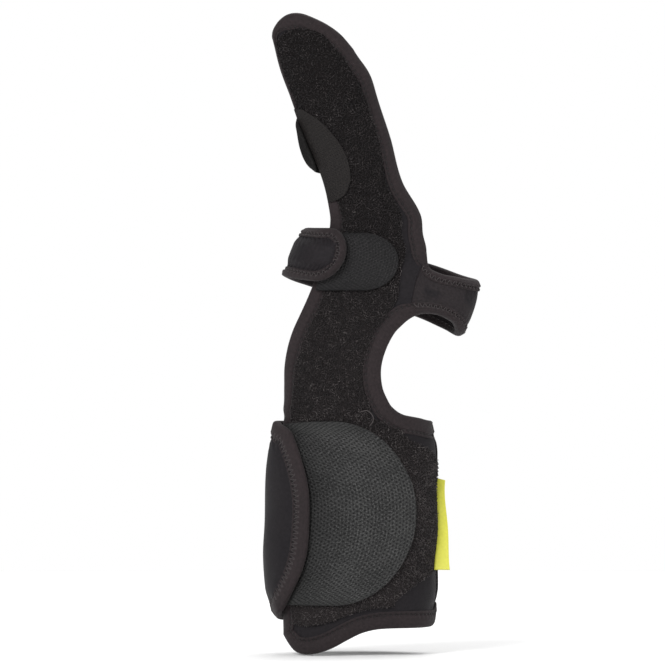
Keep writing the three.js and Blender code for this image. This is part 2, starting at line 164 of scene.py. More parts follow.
def read(rows, column, place):
    """A column's value at a place between the rows, on a smooth curve through them."""
    keys = next(iter(rows.values()))
    values = rows[column]
    last = len(keys) - 1
    before = np.maximum(np.arange(last + 1) - 1, 0)
    after = np.minimum(np.arange(last + 1) + 1, last)
    slope = (values[after] - values[before]) / (keys[after] - keys[before])
    row = np.clip(np.searchsorted(keys, place) - 1, 0, last - 1)
    step = keys[row + 1] - keys[row]
    t = np.clip((place - keys[row]) / step, 0, 1)
    held = (1 + 2 * t) * (1 - t) ** 2 * values[row] + t**2 * (3 - 2 * t) * values[row + 1]
    return held + step * (t * (1 - t) ** 2 * slope[row] - t**2 * (1 - t) * slope[row + 1])


def mix(a, b, share):
    """The value that lies a share of the way from a to b."""
    return a + (b - a) * share


def ease(value, low, high):
    """A soft step from 0 at low to 1 at high."""
    t = np.clip((value - low) / (high - low), 0, 1)
    return t * t * (3 - 2 * t)


def unit(vectors):
    """The vectors at length one."""
    return vectors / np.linalg.norm(vectors, axis=-1, keepdims=True)


def lumps(x, y, size, seed):
    """Smooth random heights from -1 to 1 with lumps of a given size, the same on every run."""
    cells = 64
    lattice = np.random.default_rng(seed).uniform(-1, 1, (cells, cells))
    column = np.floor(x / size).astype(int)
    row = np.floor(y / size).astype(int)
    right = ease(x / size - column, 0, 1)
    up = ease(y / size - row, 0, 1)
    corners = [[lattice[(column + i) % cells, (row + j) % cells] for i in (0, 1)] for j in (0, 1)]
    return mix(mix(*corners[0], right), mix(*corners[1], right), up)


# %% Form, edges and layers
SHELL = 2.6
STRAP = 2.6
FINGER_STRAP = 1.3
STRAP_LIFT = 5.45

FORM = table(
    "z centre half_width axis depth back",
    [
        (-64, 2.4, 29.4, 0, 20.6, 20.6),
        (-44, 1.8, 30.9, 0, 21, 21),
        (-33, 1.8, 32, 0, 21.4, 21.4),
        (-20, 2, 31.8, 0, 21.5, 21.5),
        (18, 2.2, 31.4, 0, 21.5, 21.5),
        (29, 2.4, 30.7, 0, 21.3, 21.3),
        (40, 2.4, 29.4, 0, 20.8, 20.8),
        (60, 5.9, 36.6, 0, 21.3, 18),
        (84, 9.2, 39.8, -1, 19.5, 14),
        (104, 9.8, 34.9, -2, 16.8, 12),
        (122, 9.5, 24.2, -4, 14.2, 10),
        (140, 6, 18.9, -6, 13, 9),
        (165, -2.6, 18.3, -9.5, 12.6, 9),
        (190, -11.8, 18.4, -14, 12, 9),
        (218, -21, 18.2, -19, 11.5, 9),
    ],
)
BODY_EDGES = table(
    "z left right",
    [
        (-64, -29.7, 37),
        (-42, -29.7, 37),
        (-20, -30.6, 37),
        (18, -30.6, 37),
        (31, -29.9, 36),
        (37.4, -28.9, 33.4),
        (39.6, -28.6, 30.5),
        (41.4, -28.5, 22.4),
        (44.6, -29, 17.4),
        (48, -29, 15),
        (54, -29.3, 12.4),
        (62, -29.2, 11.7),
        (70, -27.7, 13.7),
        (78, -25.4, 18),
        (84.5, -22.8, 24),
        (100, -16.2, 28),
        (112, -11.4, 32.2),
        (120, -9.9, 30.7),
        (128, -9.3, 29.3),
        (142, -12.3, 21.5),
        (161, -19.6, 16.4),
        (179, -26.4, 10.4),
        (190, -30.5, 6.4),
        (201, -33.4, -0.2),
        (218, -38.4, -7),
    ],
)
BOTTOM_EDGE = table(
    "x drop",
    [
        (-32, 0),
        (-30.4, 1.6),
        (-29.3, 4.6),
        (-27.4, 8),
        (-24.8, 10.6),
        (-20.5, 11.4),
        (-15, 10.5),
        (-9, 8.3),
        (-3, 5.2),
        (4.5, 1.8),
        (13, 0.2),
        (34.2, 0),
        (35.4, -0.6),
        (36.2, -2),
    ],
)
TIP_EDGE = table(
    "across rise",
    [
        (0, 3),
        (0.04, 4.9),
        (0.1, 6.8),
        (0.2, 9.4),
        (0.34, 11.8),
        (0.48, 12),
        (0.62, 10),
        (0.76, 7.1),
        (0.9, 2.8),
        (1, -2.4),
    ],
)
BODY_LOW = -48.4
BODY_HIGH = 201.0
END_FADE = 24.0


# %% Places on the form and on the body
WORN_WAVES = (
    {"height": 0.3, "length": 7.5, "turns": 2, "shift": 0},
    {"height": 0.22, "length": 4.6, "turns": -3, "shift": 1},
)
WIDTH_STOPS = 17


def worn(angle, z):
    """How far the worn cloth rises or sinks in slow waves. Every layer moves together."""
    turn = np.radians(angle)
    return sum(w["height"] * np.sin(z / w["length"] + w["turns"] * turn + w["shift"]) for w in WORN_WAVES)


def form_point(angle, z, lift):
    """Points over the form, for arrays of angles, heights and lifts."""
    angle, z, lift = np.broadcast_arrays(*(np.asarray(a, float) for a in (angle, z, lift)))
    turn = np.radians(angle)
    side, front = np.sin(turn), np.cos(turn)
    wide = read(FORM, "half_width", z)
    deep = np.where(front > 0, read(FORM, "depth", z), read(FORM, "back", z))
    out = unit(np.stack([side / wide, -front / deep], -1)) * (lift + worn(angle, z))[..., None]
    x = read(FORM, "centre", z) + wide * side + out[..., 0]
    y = read(FORM, "axis", z) - deep * front + out[..., 1]
    return np.stack([x, y, z], -1)


def angle_at(x, z, lift=SHELL):
    """The angle at which a layer shows at x, seen from the front. Without a lift it is the body's face."""
    reach = read(FORM, "half_width", z) + lift
    return np.degrees(np.arcsin(np.clip((x - read(FORM, "centre", z)) / reach, -1, 1)))


def body_place(across, along):
    """The angle and height of places on the body, given as shares from edge to edge and from cuff to tip."""
    level = mix(BODY_LOW, BODY_HIGH, along)
    left = angle_at(read(BODY_EDGES, "left", level), level)
    right = angle_at(read(BODY_EDGES, "right", level), level)
    angle = mix(left, right, across)
    x = form_point(angle, level, SHELL)[..., 0]
    drop = read(BOTTOM_EDGE, "drop", x) * (1 - ease(level - BODY_LOW, 0, END_FADE))
    rise = read(TIP_EDGE, "rise", across) * (1 - ease(BODY_HIGH - level, 0, END_FADE))
    return angle, level - drop + rise


def body_share(z):
    """The share along the body of a height."""
    return (z - BODY_LOW) / (BODY_HIGH - BODY_LOW)


def run_lengths(points, axis=0):
    """How far each point lies along its line of points, measured over the cloth."""
    steps = np.linalg.norm(np.diff(points, axis=axis), axis=-1)
    first = np.zeros_like(np.take(steps, [0], axis))
    return np.concatenate([first, np.cumsum(steps, axis)], axis)


def body_width(along):
    """Width of the body over the cloth, at each share along it."""
    across = np.linspace(0, 1, WIDTH_STOPS)[:, None]
    return run_lengths(form_point(*body_place(across, np.ravel(along)), SHELL))[-1].reshape(np.shape(along))


print("body: widest", round(float(body_width(np.linspace(0, 1, 50)).max()), 1), "mm over the cloth")

# %% [markdown]
# ## Making cloth meshes
# A sewn piece is one of three kinds of mesh. A sheet is a dense grid with a real thickness and a closed rim.
# A hem is a tape folded over an edge, so its section is swept along that edge. A thread is a thin round
# tube, and one mesh holds all the threads of a seam. Subdividing the coarse solids would round them, but it
# could not follow the edges or carry cloth coordinates. Each mesh therefore gets a map that counts
# millimetres over the cloth, for the weaves, and the distance to the nearest edge, for the wear.

# %% Meshes with cloth coordinates
CLOTH_MAP = "cloth_mm"
EDGE_ATTRIBUTE = "edge_mm"
FAR_FROM_EDGE = 50.0


def mesh_piece(name, points, faces, cloth, edge, material, caps=0):
    """An object from points in millimetres, with its cloth map and edge distances. Caps stay flat."""
    mesh = bpy.data.meshes.new(name)
    mesh.from_pydata((points * MM).tolist(), [], faces)
    corners = np.empty(len(mesh.loops), np.int32)
    mesh.loops.foreach_get("vertex_index", corners)
    layer = mesh.uv_layers.new(name=CLOTH_MAP)
    layer.uv.foreach_set("vector", cloth[corners].astype(np.float32).ravel())
    distance = mesh.attributes.new(EDGE_ATTRIBUTE, "FLOAT", "POINT")
    distance.data.foreach_set("value", np.asarray(edge, np.float32))
    mesh.polygons.foreach_set("use_smooth", np.arange(len(faces)) < len(faces) - caps)
    mesh.materials.append(material)
    piece = bpy.data.objects.new(name, mesh)
    bpy.context.scene.collection.objects.link(piece)
    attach(piece, "root")
    print(name, "has", sum(len(p.vertices) - 2 for p in mesh.polygons), "triangles")
    return piece


def grid_faces(rows, columns):
    """The four corners of each square in a grid of points, turned to face outward."""
    corner = np.arange(rows * columns).reshape(rows, columns)
    squares = [corner[:-1, :-1], corner[:-1, 1:], corner[1:, 1:], corner[1:, :-1]]
    return np.stack(squares, -1).reshape(-1, 4)


def sheet_piece(name, outer, inner, material):
    """A closed sheet between two grids of points, whose rows run up and columns run round the form."""
    rows, columns = outer.shape[:2]
    corner = np.arange(rows * columns).reshape(rows, columns)
    rim = np.concatenate([corner[0, :-1], corner[:-1, -1], corner[-1, :0:-1], corner[:0:-1, 0]])
    after = np.roll(rim, -1)
    outside = grid_faces(rows, columns)
    inside = outside[:, ::-1] + corner.size
    wall = np.stack([after, rim, rim + corner.size, after + corner.size], -1)
    sideways = run_lengths(outer, 1)
    upward = run_lengths(outer, 0)
    to_side = np.minimum(sideways, sideways[:, -1:] - sideways)
    to_end = np.minimum(upward, upward[-1:] - upward)
    middle = upward[:, columns // 2 : columns // 2 + 1]
    cloth = np.stack(np.broadcast_arrays(sideways - sideways[:, -1:] / 2, middle), -1).reshape(-1, 2)
    edge = np.minimum(to_side, to_end).ravel()
    points = np.concatenate([outer.reshape(-1, 3), inner.reshape(-1, 3)])
    faces = np.concatenate([outside, inside, wall]).tolist()
    return mesh_piece(name, points, faces, np.tile(cloth, (2, 1)), np.tile(edge, 2), material)


def cut_area(outer):
    """The area of a grid of points, in square metres."""
    first = np.cross(outer[:-1, 1:] - outer[:-1, :-1], outer[1:, :-1] - outer[:-1, :-1])
    second = np.cross(outer[1:, :-1] - outer[1:, 1:], outer[:-1, 1:] - outer[1:, 1:])
    return float(np.linalg.norm([first, second], axis=-1).sum() / 2 * MM**2)


def cut_size(outer, share=0.0):
    """The width and length that a sheet was cut to, in metres: its longest row and a straight column."""
    width = run_lengths(outer, 1)[:, -1].max()
    length = run_lengths(outer, 0)[-1, round(share * (outer.shape[1] - 1))]
    return float(width * MM), float(length * MM)


def declare_sheet(piece, outer, share=0.0):
    """Prints a sheet's flat cut: its width and length in millimetres, and its area in square centimetres."""
    size, area = cut_size(outer, share), cut_area(outer)
    print(piece.name, "cut:", [round(v / MM) for v in size], "mm,", round(area / CM**2, 1), "cm2")


# %% Threads
TURN = 2 * np.pi
THREAD_RADIUS = 0.2
THREAD_SIDES = 6
THREAD_TAPER = np.array([0.55, 1, 1, 1, 0.55])


def thread_mesh(lines, plane, radius, sides, taper):
    """Points, faces and shares along of many short threads. A line bends in the plane with that normal."""
    count, stops = lines.shape[:2]
    ahead = unit(np.gradient(lines, axis=1))
    first = unit(np.cross(plane[:, None, :], ahead))
    second = np.cross(ahead, first)
    turn = np.linspace(0, TURN, sides, endpoint=False)[:, None]
    ring = np.cos(turn) * first[:, :, None, :] + np.sin(turn) * second[:, :, None, :]
    points = lines[:, :, None, :] + np.reshape(radius, (-1, 1, 1, 1)) * taper[:, None, None] * ring
    corner = np.arange(count * stops * sides).reshape(count, stops, sides)
    beside = np.roll(corner, -1, 2)
    squares = np.stack([corner[:, :-1], beside[:, :-1], beside[:, 1:], corner[:, 1:]], -1).reshape(-1, 4)
    faces = squares.tolist() + corner[:, 0, ::-1].tolist() + corner[:, -1].tolist()
    along = np.broadcast_to(np.linspace(0, 1, stops)[:, None], (count, stops, sides))
    return points.reshape(-1, 3), faces, along.ravel()


def thread_piece(name, lines, plane, radius, material):
    """One mesh of round sewing threads. The cloth map counts round and along each thread."""
    points, faces, along = thread_mesh(lines, plane, radius, THREAD_SIDES, THREAD_TAPER)
    length = np.linalg.norm(lines[:, -1] - lines[:, 0], axis=-1).mean()
    round_it = np.tile(np.arange(THREAD_SIDES) / THREAD_SIDES, len(along) // THREAD_SIDES)
    cloth = np.stack([round_it, along * length], -1)
    far = np.full(len(points), FAR_FROM_EDGE)
    return mesh_piece(name, points, faces, cloth, far, material, caps=2 * len(lines))


def arched(share, rise, dip):
    """Height of a stitch along its length: a low arch whose two ends dive into the cloth."""
    return rise - dip * (2 * share - 1) ** 4


# %% Edges of sheets
EDGE_STEP = 0.7
CORNER_SOFTNESS = 5
PLACE_NUDGE = 1e-3


def softened(values, reach):
    """A running mean of rows of numbers over a reach of rows, which rounds the corners of a path."""
    offsets = np.arange(-3 * reach, 3 * reach + 1)
    weights = np.exp(-0.5 * (offsets / reach) ** 2)
    padded = np.pad(values, ((3 * reach, 3 * reach), (0, 0)), mode="edge")
    return np.stack([np.convolve(c, weights / weights.sum(), "valid") for c in padded.T], -1)


def edge_line(surface, places, wall):
    """Even stops along the edge of a sheet, and the way in over the cloth at each stop."""
    rough = run_lengths(surface(places[:, 0], places[:, 1], wall))
    run = np.linspace(0, rough[-1], int(rough[-1] / EDGE_STEP) + 1)
    place = np.stack([np.interp(run, rough, column) for column in places.T], -1)
    here = surface(place[:, 0], place[:, 1], wall)
    by_u = (surface(place[:, 0] + PLACE_NUDGE, place[:, 1], wall) - here) / PLACE_NUDGE
    by_v = (surface(place[:, 0], place[:, 1] + PLACE_NUDGE, wall) - here) / PLACE_NUDGE
    inward = np.cross(unit(np.cross(by_u, by_v)), unit(np.gradient(here, axis=0)))
    inward = unit(softened(inward, CORNER_SOFTNESS))
    uu, uv, vv = ((a * b).sum(-1) for a, b in ((by_u, by_u), (by_u, by_v), (by_v, by_v)))
    iu, iv = (inward * by_u).sum(-1), (inward * by_v).sum(-1)
    spread = uu * vv - uv**2
    turn = np.stack([iu * vv - iv * uv, iv * uu - iu * uv], -1) / spread[:, None]
    return {"surface": surface, "wall": wall, "run": run, "place": place, "inward": turn}


# %% Hems from folded tape
HEM_TOP = 0.58
HEM_SWELL = 0.42
HEM_GROOVE = 0.4
GROOVE_WIDTH = 0.5
BORDER_DROP = 0.35
FOLD_START = 0.4
FOLD_REACH = 1.0
UNDER_INSET = 1.4
TOUCH = 0.08
EDGE_GAP = 0.3
SEAM_STEP = 0.32
SEAM_POINTS = 9
TOP_POINTS = 15
FOLD_POINTS = 7
UNDER_POINTS = 6
SEAM_INDEX = 5
UNDER_INDEX = TOP_POINTS + FOLD_POINTS + 4
STITCH_INSET = SEAM_INDEX * SEAM_STEP
STITCH_PITCH = 2.5
GATHER_WIDTH = 1.5
TAPE_UNEVEN = 0.14
BRIDGE_ROWS = 15
BRIDGE_REACH = 5


def hem_section(width, wall, under):
    """Depths and lifts round a hem's section: over the top, round the fold, below and back by the sheet."""
    near_border = width - SEAM_STEP * np.arange(SEAM_POINTS)
    over = np.r_[near_border, np.linspace(near_border[-1], FOLD_START, TOP_POINTS - SEAM_POINTS + 1)[1:]]
    seam = width - STITCH_INSET
    share = np.clip(over / seam, 0, 1)
    groove = HEM_GROOVE * np.exp(-(((over - seam) / GROOVE_WIDTH) ** 2))
    top = wall + HEM_TOP + HEM_SWELL * 4 * share * (1 - share) - groove
    top[0] -= BORDER_DROP
    turn = np.linspace(0, np.pi, FOLD_POINTS + 2)[1:-1]
    middle, half = (top[-1] - under) / 2, (top[-1] + under) / 2
    fold = FOLD_START - (FOLD_START + FOLD_REACH) * np.sin(turn)
    below = np.linspace(FOLD_START, width - UNDER_INSET, UNDER_POINTS)
    by_sheet = [-TOUCH, -TOUCH, wall + TOUCH, wall + TOUCH]
    depth = np.r_[over, fold, below, below[-1], -EDGE_GAP, -EDGE_GAP, width]
    lift = np.r_[top, middle + half * np.cos(turn), np.full(UNDER_POINTS, -under), by_sheet]
    return depth, lift


def hem_rows(line, width, under, pucker, seed, shown=1.0):
    """Points round a hem at each stop along an edge, puckered at its seam. Shown is a share of its width."""
    depth, lift = hem_section(width, line["wall"], under)
    run = line["run"][:, None]
    on_top = np.arange(len(depth)) < TOP_POINTS
    near_seam = on_top * np.exp(-(((depth - width + STITCH_INSET) / GATHER_WIDTH) ** 2))
    gather = pucker * near_seam * np.cos(TURN * run / STITCH_PITCH)
    uneven = TAPE_UNEVEN * on_top * lumps(run, depth[None, :], size=5.0, seed=seed)
    u, v = (column[:, None] for column in line["place"].T)
    iu, iv = (column[:, None] for column in line["inward"].T)
    inward = np.where(depth > 0, depth * np.reshape(shown, (-1, 1)), depth)
    return line["surface"](u + iu * inward, v + iv * inward, lift + gather + uneven)


def bridge(first, second):
    """Carries one hem over into the next. Each gets half of the smooth rows between their ends."""
    gap = np.linalg.norm(second[0] - first[-1], axis=-1).mean()
    leave = (first[-1] - first[-1 - BRIDGE_REACH]) / (BRIDGE_REACH * EDGE_STEP) * gap
    arrive = (second[BRIDGE_REACH] - second[0]) / (BRIDGE_REACH * EDGE_STEP) * gap
    t = np.linspace(0, 1, BRIDGE_ROWS)[:, None, None]
    ends = (1 + 2 * t) * (1 - t) ** 2 * first[-1] + t**2 * (3 - 2 * t) * second[0]
    rows = ends + t * (1 - t) ** 2 * leave - t**2 * (1 - t) * arrive
    middle = BRIDGE_ROWS // 2
    return np.concatenate([first, rows[1 : middle + 1]]), np.concatenate([rows[middle:-1], second])


def hem_piece(name, rows, width, material):
    """The mesh of a hem from its rows of points."""
    stops, sides = rows.shape[:2]
    corner = np.arange(stops * sides).reshape(stops, sides)
    beside = np.roll(corner, -1, 1)
    squares = np.stack([corner[:-1], beside[:-1], beside[1:], corner[1:]], -1).reshape(-1, 4)
    faces = squares.tolist() + [corner[0, ::-1].tolist(), corner[-1].tolist()]
    around = run_lengths(rows[stops // 2])
    along = run_lengths(rows[:, SEAM_INDEX])[:, None]
    cloth = np.stack(np.broadcast_arrays(around, along), -1).reshape(-1, 2)
    from_fold = np.abs(hem_section(width, SHELL, 0.0)[0] + FOLD_REACH)
    edge = np.broadcast_to(from_fold, (stops, sides)).ravel()
    piece = mesh_piece(name, rows.reshape(-1, 3), faces, cloth, edge, material, caps=2)
    return piece


# %% Stitches of a hem
STITCH_COVER = 0.78
ZIGZAG_COVER = 0.96
LANE_SOFTNESS = 3


def stitch_row(rows, first, last, pitch=STITCH_PITCH, cover=STITCH_COVER):
    """Stitches that swing between two lanes of a hem's rows, as short arched lines with their planes."""
    share = np.linspace(0, 1, len(THREAD_TAPER))
    lanes = np.linspace(first, last, len(share)).round().astype(int)
    middle = len(share) // 2
    path, inner, outer = (rows[:, lanes[middle] + offset] for offset in (0, -1, 1))
    run = run_lengths(path)
    outward = unit(np.cross(np.gradient(path, axis=0), unit(softened(inner - outer, LANE_SOFTNESS))))
    starts = np.arange(pitch / 2, run[-1] - pitch, pitch)
    stop = starts[:, None] + cover * pitch * share

    def at(values):
        return np.stack([np.interp(stop, run, column) for column in values.T], -1)

    def leg(order):
        return np.stack([at(rows[:, lane])[:, place] for place, lane in enumerate(order)], 1)

    back = (np.arange(len(starts)) % 2)[:, None, None] == 1
    arch = arched(share, rise=0.06, dip=0.36)
    lines = np.where(back, leg(lanes[::-1]), leg(lanes)) + at(outward) * arch[:, None]
    return lines, unit(np.cross(at(outward)[:, middle], lines[:, -1] - lines[:, 0]))


def hem_stitches(name, rows, material, zigzag=None, pitch=STITCH_PITCH):
    """The stitches of a hem: a row in its groove or a zigzag over its tape, and a row on its lower face."""
    if zigzag:
        upper = stitch_row(rows, *zigzag, pitch, ZIGZAG_COVER)
    else:
        upper = stitch_row(rows, SEAM_INDEX, SEAM_INDEX)
    lines, planes = zip(upper, stitch_row(rows, UNDER_INDEX, UNDER_INDEX))
    piece = thread_piece(name, np.concatenate(lines), np.concatenate(planes), THREAD_RADIUS, material)
    return piece


# %% [markdown]
# ## Finishes
# Each finish is a Principled shader fed by a few shared effects. Knitted and woven faces use one group that
# raises ribs and courses from the cloth map and marks the valleys between them, where painted shade goes. A
# second marks the needle holes by a seam, which painted shade darkens. Wear uses a third: it fades the
# colour in patches, lightens the edges, and drops a little lint. The hook tapes share a fourth, which lays
# out a staggered field of woven pits for painted shade, and raised spots for painted glints. Painting these
# into images would fix their size. Groups stay sharp and take their own values in each finish.


# %% Node helpers
def plug(tree, socket, value):
    """Feeds a socket from another socket, or sets it to a plain value."""
    if isinstance(value, bpy.types.NodeSocket):
        tree.links.new(value, socket)
    else:
        socket.default_value = value


def add(tree, kind, inputs, **settings):
    """Adds a node with its settings, and its inputs by name or number."""
    node = tree.nodes.new("ShaderNode" + kind)
    for name, value in settings.items():
        setattr(node, name, value)
    for name, value in inputs.items():
        plug(tree, node.inputs[name], value)
    return node.outputs


def sums(tree, operation, a, b=0.0, c=0.0):
    """One step of arithmetic on values."""
    return add(tree, "Math", {0: a, 1: b, 2: c}, operation=operation)["Value"]


def blend(tree, share, a, b, how="MIX"):
    """One colour laid over another by a share."""
    return add(tree, "Mix", {0: share, 6: a, 7: b}, data_type="RGBA", blend_type=how)[2]


def step(tree, value, low, high, start=0.0, end=1.0):
    """A value spread from one range to another, and held at its ends."""
    places = {"Value": value, "From Min": low, "From Max": high, "To Min": start, "To Max": end}
    return add(tree, "MapRange", places)["Result"]


def new_group(name, inputs, outputs):
    """An empty group of nodes, with its named inputs and outputs."""
    tree = bpy.data.node_groups.new(name, "ShaderNodeTree")
    for label, kind, value in inputs:
        socket = tree.interface.new_socket(label, in_out="INPUT", socket_type="NodeSocket" + kind)
        socket.default_value = value
    for label, kind in outputs:
        tree.interface.new_socket(label, in_out="OUTPUT", socket_type="NodeSocket" + kind)
    return tree, tree.nodes.new("NodeGroupInput").outputs, tree.nodes.new("NodeGroupOutput").inputs


def place_group(tree, group, inputs):
    """Puts a group into a material with its own values."""
    node = tree.nodes.new("ShaderNodeGroup")
    node.node_tree = group
    for name, value in inputs.items():
        plug(tree, node.inputs[name], value)
    return node.outputs


# %% Group: knitted ribs
RIB_SLANT = 2.0
RIB_HEIGHT = 0.55
COURSE_HEIGHT = 0.45
VALLEY_RANGE = (0.45, 0.1)

knit_ribs, given, made = new_group(
    "knit_ribs",
    [
        ("Cloth", "Vector", (0, 0, 0)),
        ("Rib", "Float", 0.5),
        ("Course", "Float", 0.4),
        ("Wander", "Float", 0.1),
    ],
    [("Height", "Float"), ("Valley", "Float")],
)
drift = add(knit_ribs, "TexNoise", {"Vector": given["Cloth"], "Scale": 0.35, "Detail": 2.0})["Color"]
wander = add(knit_ribs, "VectorMath", {0: drift, 3: given["Wander"]}, operation="SCALE")["Vector"]
drifted = add(knit_ribs, "VectorMath", {0: given["Cloth"], 1: wander}, operation="ADD")["Vector"]
place = add(knit_ribs, "SeparateXYZ", {"Vector": drifted})
rib_turn = sums(knit_ribs, "DIVIDE", sums(knit_ribs, "MULTIPLY", place["X"], TURN), given["Rib"])
course_turn = sums(knit_ribs, "DIVIDE", sums(knit_ribs, "MULTIPLY", place["Y"], TURN), given["Course"])
rib = step(knit_ribs, sums(knit_ribs, "COSINE", rib_turn), -1.0, 1.0)
slant = sums(knit_ribs, "ADD", course_turn, sums(knit_ribs, "MULTIPLY", rib, RIB_SLANT))
course = step(knit_ribs, sums(knit_ribs, "COSINE", slant), -1.0, 1.0)
ribbed = sums(knit_ribs, "MULTIPLY", rib, RIB_HEIGHT)
raised = sums(knit_ribs, "MULTIPLY_ADD", course, COURSE_HEIGHT, ribbed)
plug(knit_ribs, made["Height"], raised)
# Valley marks the low places between ribs, where the finishes paint shade.
plug(knit_ribs, made["Valley"], step(knit_ribs, raised, *VALLEY_RANGE))
print("group:", knit_ribs.name)

# %% Group: painted shade at needle holes
MARK_BESIDE = (1.0, 0.3)
MARK_ALONG = (-0.1, 0.8)

needle_hole_shade, given, made = new_group(
    "needle_hole_shade",
    [
        ("Cloth", "Vector", (0, 0, 0)),
        ("Inset", "Float", 1.6),
        ("Pitch", "Float", 2.5),
        ("Size", "Float", 1.1),
    ],
    [("Hole Shade", "Float")],
)
place = add(needle_hole_shade, "SeparateXYZ", {"Vector": given["Cloth"]})
aside = sums(needle_hole_shade, "ABSOLUTE", sums(needle_hole_shade, "SUBTRACT", place["X"], given["Inset"]))
beside_seam = step(needle_hole_shade, sums(needle_hole_shade, "DIVIDE", aside, given["Size"]), *MARK_BESIDE)
stitch_turn = sums(needle_hole_shade, "DIVIDE", sums(needle_hole_shade, "MULTIPLY", place["Y"], TURN), given["Pitch"])
at_needle = step(needle_hole_shade, sums(needle_hole_shade, "COSINE", stitch_turn), *MARK_ALONG)
# Painted shade: a row of dark dots by the seam, one at each needle hole.
plug(needle_hole_shade, made["Hole Shade"], sums(needle_hole_shade, "MULTIPLY", beside_seam, at_needle))
print("group:", needle_hole_shade.name)

# %% Group: wear, fading and lint
PATCH_RANGE = (0.35, 0.7)
RUBBED_RANGE = (1.0, 0.2)
RAGGED = {"low": 0.3, "high": 0.6, "start": 0.4, "end": 1.0}
FUZZ_RANGE = (0.3, 0.7)
LINT_CELL = 0.55
LINT_SIZE = 0.07
LINT_RARE = 0.82
LINT_COLOUR = (0.16, 0.15, 0.15, 1)

cloth_wear, given, made = new_group(
    "cloth_wear",
    [
        ("Cloth", "Vector", (0, 0, 0)),
        ("Edge", "Float", FAR_FROM_EDGE),
        ("Colour", "Color", (0.02, 0.02, 0.02, 1)),
        ("Faded", "Color", (0.05, 0.05, 0.05, 1)),
        ("Fade", "Float", 0.5),
        ("Edge Reach", "Float", 1.0),
        ("Lint", "Float", 0.3),
        ("Mottle", "Float", 0.25),
    ],
    [("Colour", "Color"), ("Patch", "Float")],
)
patches = add(cloth_wear, "TexNoise", {"Vector": given["Cloth"], "Scale": 0.07, "Detail": 5.0})["Fac"]
patch = step(cloth_wear, patches, *PATCH_RANGE)
# Rubbed edges: wear makes the cloth paler near its edges.
wear_and_painted_light = step(cloth_wear, sums(cloth_wear, "DIVIDE", given["Edge"], given["Edge Reach"]), *RUBBED_RANGE)
ragged = sums(cloth_wear, "MULTIPLY", wear_and_painted_light, step(cloth_wear, patches, **RAGGED))
fade = sums(cloth_wear, "MULTIPLY", sums(cloth_wear, "MAXIMUM", patch, ragged), given["Fade"])
faded = blend(cloth_wear, fade, given["Colour"], given["Faded"])
specks = add(cloth_wear, "TexVoronoi", {"Vector": given["Cloth"], "Scale": LINT_CELL})
chosen = add(cloth_wear, "SeparateColor", {"Color": specks["Color"]})["Red"]
speck = sums(cloth_wear, "LESS_THAN", specks["Distance"], LINT_SIZE)
rare = sums(cloth_wear, "GREATER_THAN", chosen, LINT_RARE)
lint = sums(cloth_wear, "MULTIPLY", sums(cloth_wear, "MULTIPLY", speck, rare), given["Lint"])
linted = blend(cloth_wear, lint, faded, LINT_COLOUR)
fuzz = add(cloth_wear, "TexNoise", {"Vector": given["Cloth"], "Scale": 0.8, "Detail": 3.0})["Fac"]
darker = sums(cloth_wear, "SUBTRACT", 1.0, given["Mottle"])
lighter = sums(cloth_wear, "ADD", 1.0, given["Mottle"])
mottle = step(cloth_wear, fuzz, *FUZZ_RANGE, darker, lighter)
mottled = add(cloth_wear, "VectorMath", {0: linted, 3: mottle}, operation="SCALE")
plug(cloth_wear, made["Colour"], mottled["Vector"])
plug(cloth_wear, made["Patch"], patch)
print("group:", cloth_wear.name)

# %% Group: the woven pits of hook tape, and raised spots for painted glints
WEAVE_BEND = 1.1
PIT_RANGE = (1.5, 0.5)
FILLED = {"low": 0.36, "high": 0.52, "start": 0.7, "end": 1.0}
GLINT_BUMP_RANGE = (0.5, 0.66)
GLINT_BUMP_HEIGHT = 0.35

hook_weave, given, made = new_group(
    "hook_weave",
    [
        ("Cloth", "Vector", (0, 0, 0)),
        ("Column", "Float", 1.58),
        ("Pitch", "Float", 1.78),
        ("Pit", "Float", 0.4),
    ],
    [("Pits", "Float"), ("Glint Bumps", "Float"), ("Height", "Float")],
)
bent = add(hook_weave, "TexNoise", {"Vector": given["Cloth"], "Scale": 0.2, "Detail": 2.0})["Color"]
shifted = add(hook_weave, "VectorMath", {0: bent, 3: WEAVE_BEND}, operation="SCALE")["Vector"]
uneven = add(hook_weave, "VectorMath", {0: given["Cloth"], 1: shifted}, operation="ADD")["Vector"]
place = add(hook_weave, "SeparateXYZ", {"Vector": uneven})
column = sums(hook_weave, "DIVIDE", place["X"], given["Column"])
odd = sums(hook_weave, "FLOORED_MODULO", sums(hook_weave, "FLOOR", column), 2.0)
row = sums(hook_weave, "MULTIPLY_ADD", odd, 0.5, sums(hook_weave, "DIVIDE", place["Y"], given["Pitch"]))
aside = sums(hook_weave, "SUBTRACT", sums(hook_weave, "FRACT", column), 0.5)
above = sums(hook_weave, "SUBTRACT", sums(hook_weave, "FRACT", row), 0.5)
offset = add(
    hook_weave,
    "CombineXYZ",
    {
        "X": sums(hook_weave, "MULTIPLY", aside, given["Column"]),
        "Y": sums(hook_weave, "MULTIPLY", above, given["Pitch"]),
    },
)["Vector"]
distance = add(hook_weave, "VectorMath", {0: offset}, operation="LENGTH")["Value"]
clear_pits = step(hook_weave, sums(hook_weave, "DIVIDE", distance, given["Pit"]), *PIT_RANGE)
filled = add(hook_weave, "TexNoise", {"Vector": given["Cloth"], "Scale": 0.55, "Detail": 1.0})["Fac"]
pits = sums(hook_weave, "MULTIPLY", clear_pits, step(hook_weave, filled, **FILLED))
fine_noise = add(hook_weave, "TexNoise", {"Vector": given["Cloth"], "Scale": 1.5, "Detail": 2.0})["Fac"]
